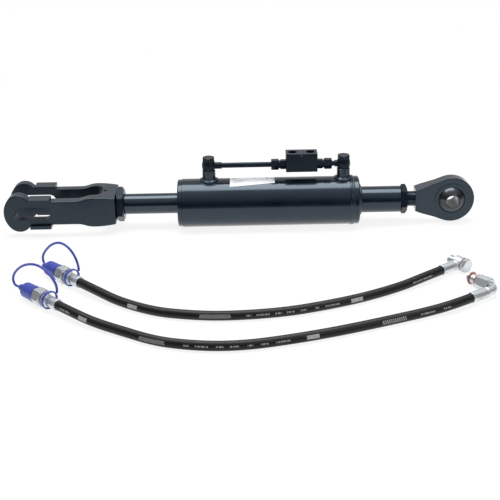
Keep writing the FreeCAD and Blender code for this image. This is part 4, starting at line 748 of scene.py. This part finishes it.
def makeHose(name, node):
    route, radius = hoseRoutes[name], hoseSettings["radius"]
    points = [onPlace(route["coupler"], layout["ferruleEnd"]),
              onPlace(route["coupler"], layout["ferruleEnd"] + route["lead"])]
    points += [(x, y, layout["hoseLevel"] + lift) for x, y, lift in route["floor"]]
    points += [onPlace(route["end"], -layout["endLead"]), onPlace(route["end"], 0.0)]
    line, distance = evenly(splineLine(name + "Line", points), hoseSettings["step"])
    rows = tubeRows(line, radius, np.array((0.0, 0.0, 1.0)), hoseSettings["around"])
    rubber = makeHoseRubber(name + "Rubber", hosePrint[name], distance[-1])
    piece = gridPiece(name, [rows], rubber, closeEnds=True)
    addUV(piece, len(line), hoseSettings["around"])
    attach(piece, "barrel")
    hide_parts(node)
    print(name, "length", round(distance[-1], 4))


# Cap straps: from the ring on the ferrule to the cap, in millimetres in the coupler's own frame

strapLoops = {
    "upperStrap": [(79.5, 16.3, 9.7), (79.3, 16.3, 17.1), (77.5, 15, 27.9), (73.6, 13, 38.4), (67.1, 10.5, 47.8),
                   (56.7, 8, 54.1), (44.9, 5.6, 55.3), (32.9, 3.8, 51.7), (19.9, 2.2, 44.2), (8, 1.1, 33.6),
                   (-1.6, 0.4, 22.9), (-6.4, 0, 11.4), (-2.42, 0, 5.2)],
    "lowerStrap": [(79.5, 16.3, 9.7), (81.1, 16.3, 17.1), (79.8, 15.2, 26.7), (73.4, 13.2, 36.8), (63.6, 11, 44.9),
                   (50.6, 8.6, 50.6), (35.1, 6.2, 51), (19.9, 4, 47.1), (5.5, 2.4, 40.5), (-8.2, 1.2, 30.8),
                   (-19.4, 0.4, 19.3), (-24.5, 0, 8.5), (-21.5, 0, -0.5), (-14, 0, -2.4), (-5.62, 0, -0.96)],
}
strapSettings = {"radius": 0.0022, "step": 0.0012, "around": 16, "ringEnd": (0.0795, 0.0163, 0.012),
                 "capEnd": (-0.004, 0.0, 0.01)}


def makeStrap(name, node, place):
    points = [onPlace(place, x / 1000, y / 1000, z / 1000) for x, y, z in strapLoops[name]]
    line = evenly(splineLine(name + "Line", points), strapSettings["step"])[0]
    sideways = np.array(place.to_3x3() @ Vector((0.0, 1.0, 0.0)))
    rows = tubeRows(line, strapSettings["radius"], sideways, strapSettings["around"])
    piece = gridPiece(name, [rows], looks["bluePlastic"], closeEnds=True)
    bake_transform(piece)
    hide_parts(node)


# Label on top of the barrel: blank but for a few plain grey bars

labelSettings = {"left": -0.4270, "right": -0.3412, "frontLeft": 58.0, "frontRight": 68.0, "back": 112.0,
                 "lift": 0.00015, "along": 24, "across": 40, "paper": (0.60, 0.61, 0.63),
                 "ink": (0.10, 0.11, 0.13), "skinScale": 3.0, "bump": 0.05, "bumpDistance": 0.0003}
labelBars = [  # left, right, low and high, as shares of the label
    (0.05, 0.16, 0.60, 0.72), (0.52, 0.74, 0.62, 0.68), (0.80, 0.86, 0.56, 0.74), (0.08, 0.34, 0.36, 0.40),
    (0.08, 0.28, 0.24, 0.28)]


def makeLabelPaper():  # U runs along the label, V from its front edge at 0 to its back one at a half
    material, nodes, links, shader = emptyMaterial("labelPaper")
    own = labelSettings
    along, around = surfaceParts(nodes, links)
    ink = None
    for left, right, low, high in labelBars:
        across = mathNode(nodes, links, "COMPARE", along, (left + right) / 2, (right - left) / 2)
        upward = mathNode(nodes, links, "COMPARE", around, (low + high) / 4, (high - low) / 4)
        bar = mathNode(nodes, links, "MULTIPLY", across, upward)
        ink = bar if ink is None else mathNode(nodes, links, "MAXIMUM", ink, bar)
    skin = skinNode(nodes, own["skinScale"])
    strength = rangeNode(nodes, links, skin.outputs["Cloud"], 0.3, 0.7, 0.6, 0.9)
    faded = mathNode(nodes, links, "MULTIPLY", ink, strength)
    roughness = rangeNode(nodes, links, skin.outputs["Cloud"], 0.3, 0.8, 0.32, 0.46)
    normal = bumpNode(nodes, links, skin.outputs["Height"], own["bump"], own["bumpDistance"])
    links.new(mixColour(nodes, links, faded, own["paper"], own["ink"]), shader.inputs["Base Color"])
    links.new(normal, shader.inputs["Normal"])
    links.new(roughness, shader.inputs["Roughness"])
    return material


def makeLabel():
    # a sheet on the barrel: outside, the angle runs from the slanted front edge to the back one, and inside it
    # returns
    own = labelSettings
    share = np.linspace(0.0, 1.0, own["along"])[:, None]
    front = own["frontLeft"] * (1 - share) + own["frontRight"] * share
    across = np.linspace(0.0, 1.0, own["across"])
    angle = np.radians(front + (own["back"] - front) * np.concatenate((across, across[::-1]))[None, :])
    radius = np.full(angle.shape, layout["barrelRadius"] + own["lift"])
    radius[:, own["across"]:] -= own["lift"] * 2
    x = np.broadcast_to(own["left"] + (own["right"] - own["left"]) * share, angle.shape)
    rows = np.stack((x, -radius * np.cos(angle), radius * np.sin(angle)), axis=-1)
    piece = gridPiece("barrelLabel", [rows], makeLabelPaper(), closeEnds=True)
    addUV(piece, *angle.shape)
    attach(piece, "barrel")


# Making of the pieces

threadOf = {thread["node"]: thread for thread in threads.values()}
for skinWidth, skinned in skinWidths.items():
    for node in skinned:
        makeSkin(node, skinWidth, threadOf.get(node))
print("skins made")
for threadName, thread in threads.items():
    makeThread(threadName, thread)
makeSleeves("upperSleeves", "upper_ferrules", upperCouplerPlace, upperEndPlace, sleeveSettings["upperEndLength"])
makeSleeves("lowerSleeves", "lower_ferrules", lowerCouplerPlace, lowerEndPlace, sleeveSettings["lowerEndLength"])
for springName, spring in springs.items():
    makeSpring(springName, *spring)
for beadName, bead in ringBeads.items():
    makeRingBead(beadName, *bead)
for beadName, centre in bossBeads.items():
    makeBossBead(beadName, centre)
print("threads, sleeves, springs and beads made")
makeLabel()
makeStrap("upperStrap", "upper_cap_strap", upperCouplerPlace)
makeStrap("lowerStrap", "lower_cap_strap", lowerCouplerPlace)
makeHose("upperHose", "upper_hose")
makeHose("lowerHose", "lower_hose")

# Floor, backdrop and light

stageSettings = {"reach": 8.0, "floorColour": 0.93, "roughness": 0.9, "gloss": 0.1, "middle": (0.42, 0.2, 0.0),
                 "nearGlow": 0.85, "glowFrom": 0.6, "glowTo": 1.6, "sheetEnd": -1.0, "sheetFade": -0.4,
                 "sheetDark": 0.95, "sheetShine": 0.35, "darkColour": 0.02}


def emissionNode(nodes, grey):
    emission = nodes.new("ShaderNodeEmission")
    emission.inputs["Color"].default_value = solidColour((grey,) * 3)
    return emission


def mixShader(nodes, links, factor, first, second):  # first where the factor is 0, second where it is 1
    mix = nodes.new("ShaderNodeMixShader")
    for socket, value in zip(mix.inputs, (factor, first, second)):
        links.new(value, socket)
    return mix.outputs[0]


def makeStage():
    # near the object the floor is paper with its shadow, and further off it turns into plain white; the gloss
    # of the object meets a brighter floor behind, and a dark one in front
    material, nodes, links, shader = emptyMaterial("floorPaper")
    own = stageSettings
    shader.inputs["Base Color"].default_value = solidColour((own["floorColour"],) * 3)
    shader.inputs["Roughness"].default_value = own["roughness"]
    shader.inputs["Specular IOR Level"].default_value = own["gloss"]
    path = nodes.new("ShaderNodeLightPath")
    glossyRay = path.outputs["Is Glossy Ray"]
    white = emissionNode(nodes, 1.0)
    stronger = mathNode(nodes, links, "MULTIPLY", glossyRay, own["sheetShine"])
    links.new(mathNode(nodes, links, "ADD", stronger, 1.0), white.inputs["Strength"])
    place = nodes.new("ShaderNodeTexCoord")
    shift = nodes.new("ShaderNodeMapping")
    shift.inputs["Location"].default_value = own["middle"]
    links.new(place.outputs["Object"], shift.inputs["Vector"])
    far = nodes.new("ShaderNodeVectorMath")
    far.operation = "LENGTH"
    links.new(shift.outputs["Vector"], far.inputs[0])
    glow = rangeNode(nodes, links, far.outputs["Value"], own["glowFrom"], own["glowTo"], own["nearGlow"], 1.0)
    seen = mathNode(nodes, links, "MAXIMUM", path.outputs["Is Camera Ray"], glossyRay)
    shown = mathNode(nodes, links, "MULTIPLY", seen, glow)
    paper = mixShader(nodes, links, shown, shader.outputs[0], white.outputs[0])
    parts = nodes.new("ShaderNodeSeparateXYZ")
    links.new(place.outputs["Object"], parts.inputs[0])
    front = rangeNode(nodes, links, parts.outputs["Y"], own["sheetEnd"], own["sheetFade"], own["sheetDark"], 0.0)
    darkShare = mathNode(nodes, links, "MULTIPLY", glossyRay, front)
    dark = emissionNode(nodes, own["darkColour"])
    output = next(node for node in nodes if node.type == "OUTPUT_MATERIAL")
    links.new(mixShader(nodes, links, darkShare, paper, dark.outputs[0]), output.inputs["Surface"])
    mesh = bpy.data.meshes.new("floor")
    reach, level = own["reach"], layout["floor"]
    corners = [(-reach, -reach, level), (reach, -reach, level), (reach, reach, level), (-reach, reach, level)]
    mesh.from_pydata(corners, [], [(0, 1, 2, 3)])
    floor = bpy.data.objects.new("floor", mesh)
    scene.collection.objects.link(floor)
    mesh.materials.append(material)


worldSettings = {"strength": 0.55, "skyFrom": 0.25, "skyTo": 1.0, "sky": 0.95, "wallFrom": 0.1, "wallTo": 0.9,
                 "wall": 0.75}


def makeWorld():  # white to the camera; reflections meet a dark room in front, a pale one behind and above
    world = bpy.data.worlds.new("studio")
    world.use_nodes = True
    scene.world = world
    nodes, links, own = world.node_tree.nodes, world.node_tree.links, worldSettings
    background = next(node for node in nodes if node.type == "BACKGROUND")
    place = nodes.new("ShaderNodeTexCoord")
    parts = nodes.new("ShaderNodeSeparateXYZ")
    links.new(place.outputs["Generated"], parts.inputs[0])
    upward = rangeNode(nodes, links, parts.outputs["Z"], own["skyFrom"], own["skyTo"], 0.0, own["sky"])
    behind = rangeNode(nodes, links, parts.outputs["Y"], own["wallFrom"], own["wallTo"], 0.0, own["wall"])
    pale = mathNode(nodes, links, "MAXIMUM", upward, behind)
    path = nodes.new("ShaderNodeLightPath")
    glossy = mathNode(nodes, links, "MULTIPLY", path.outputs["Is Glossy Ray"], pale)
    diffuse = mathNode(nodes, links, "MULTIPLY", path.outputs["Is Diffuse Ray"], own["strength"])
    seen = mathNode(nodes, links, "ADD", path.outputs["Is Camera Ray"], glossy)
    links.new(mathNode(nodes, links, "ADD", seen, diffuse), background.inputs["Strength"])
    background.inputs["Color"].default_value = solidColour((1.0, 1.0, 1.0))


lamps = {
    "keyLamp": {"place": (-0.42, 0.14, 1.65), "target": (-0.42, 0.0, 0.0), "size": (1.9, 1.0), "power": 40.0},
    "fillLamp": {"place": (0.9, -1.6, 1.1), "target": (-0.3, -0.2, 0.0), "size": (0.9, 0.9), "power": 6.0},
}


def makeLamp(name, lamp):
    data = bpy.data.lights.new(name, "AREA")
    data.shape = "RECTANGLE"
    data.size, data.size_y = lamp["size"]
    data.energy = lamp["power"]
    holder = bpy.data.objects.new(name, data)
    scene.collection.objects.link(holder)
    toward = Vector(lamp["target"]) - Vector(lamp["place"])
    turn = toward.to_track_quat("-Z", "Y").to_matrix().to_4x4()
    holder.matrix_world = Matrix.Translation(lamp["place"]) @ turn


makeStage()
makeWorld()
for lampName, lamp in lamps.items():
    makeLamp(lampName, lamp)
scene.view_settings.view_transform = "Standard"
print("stage made")
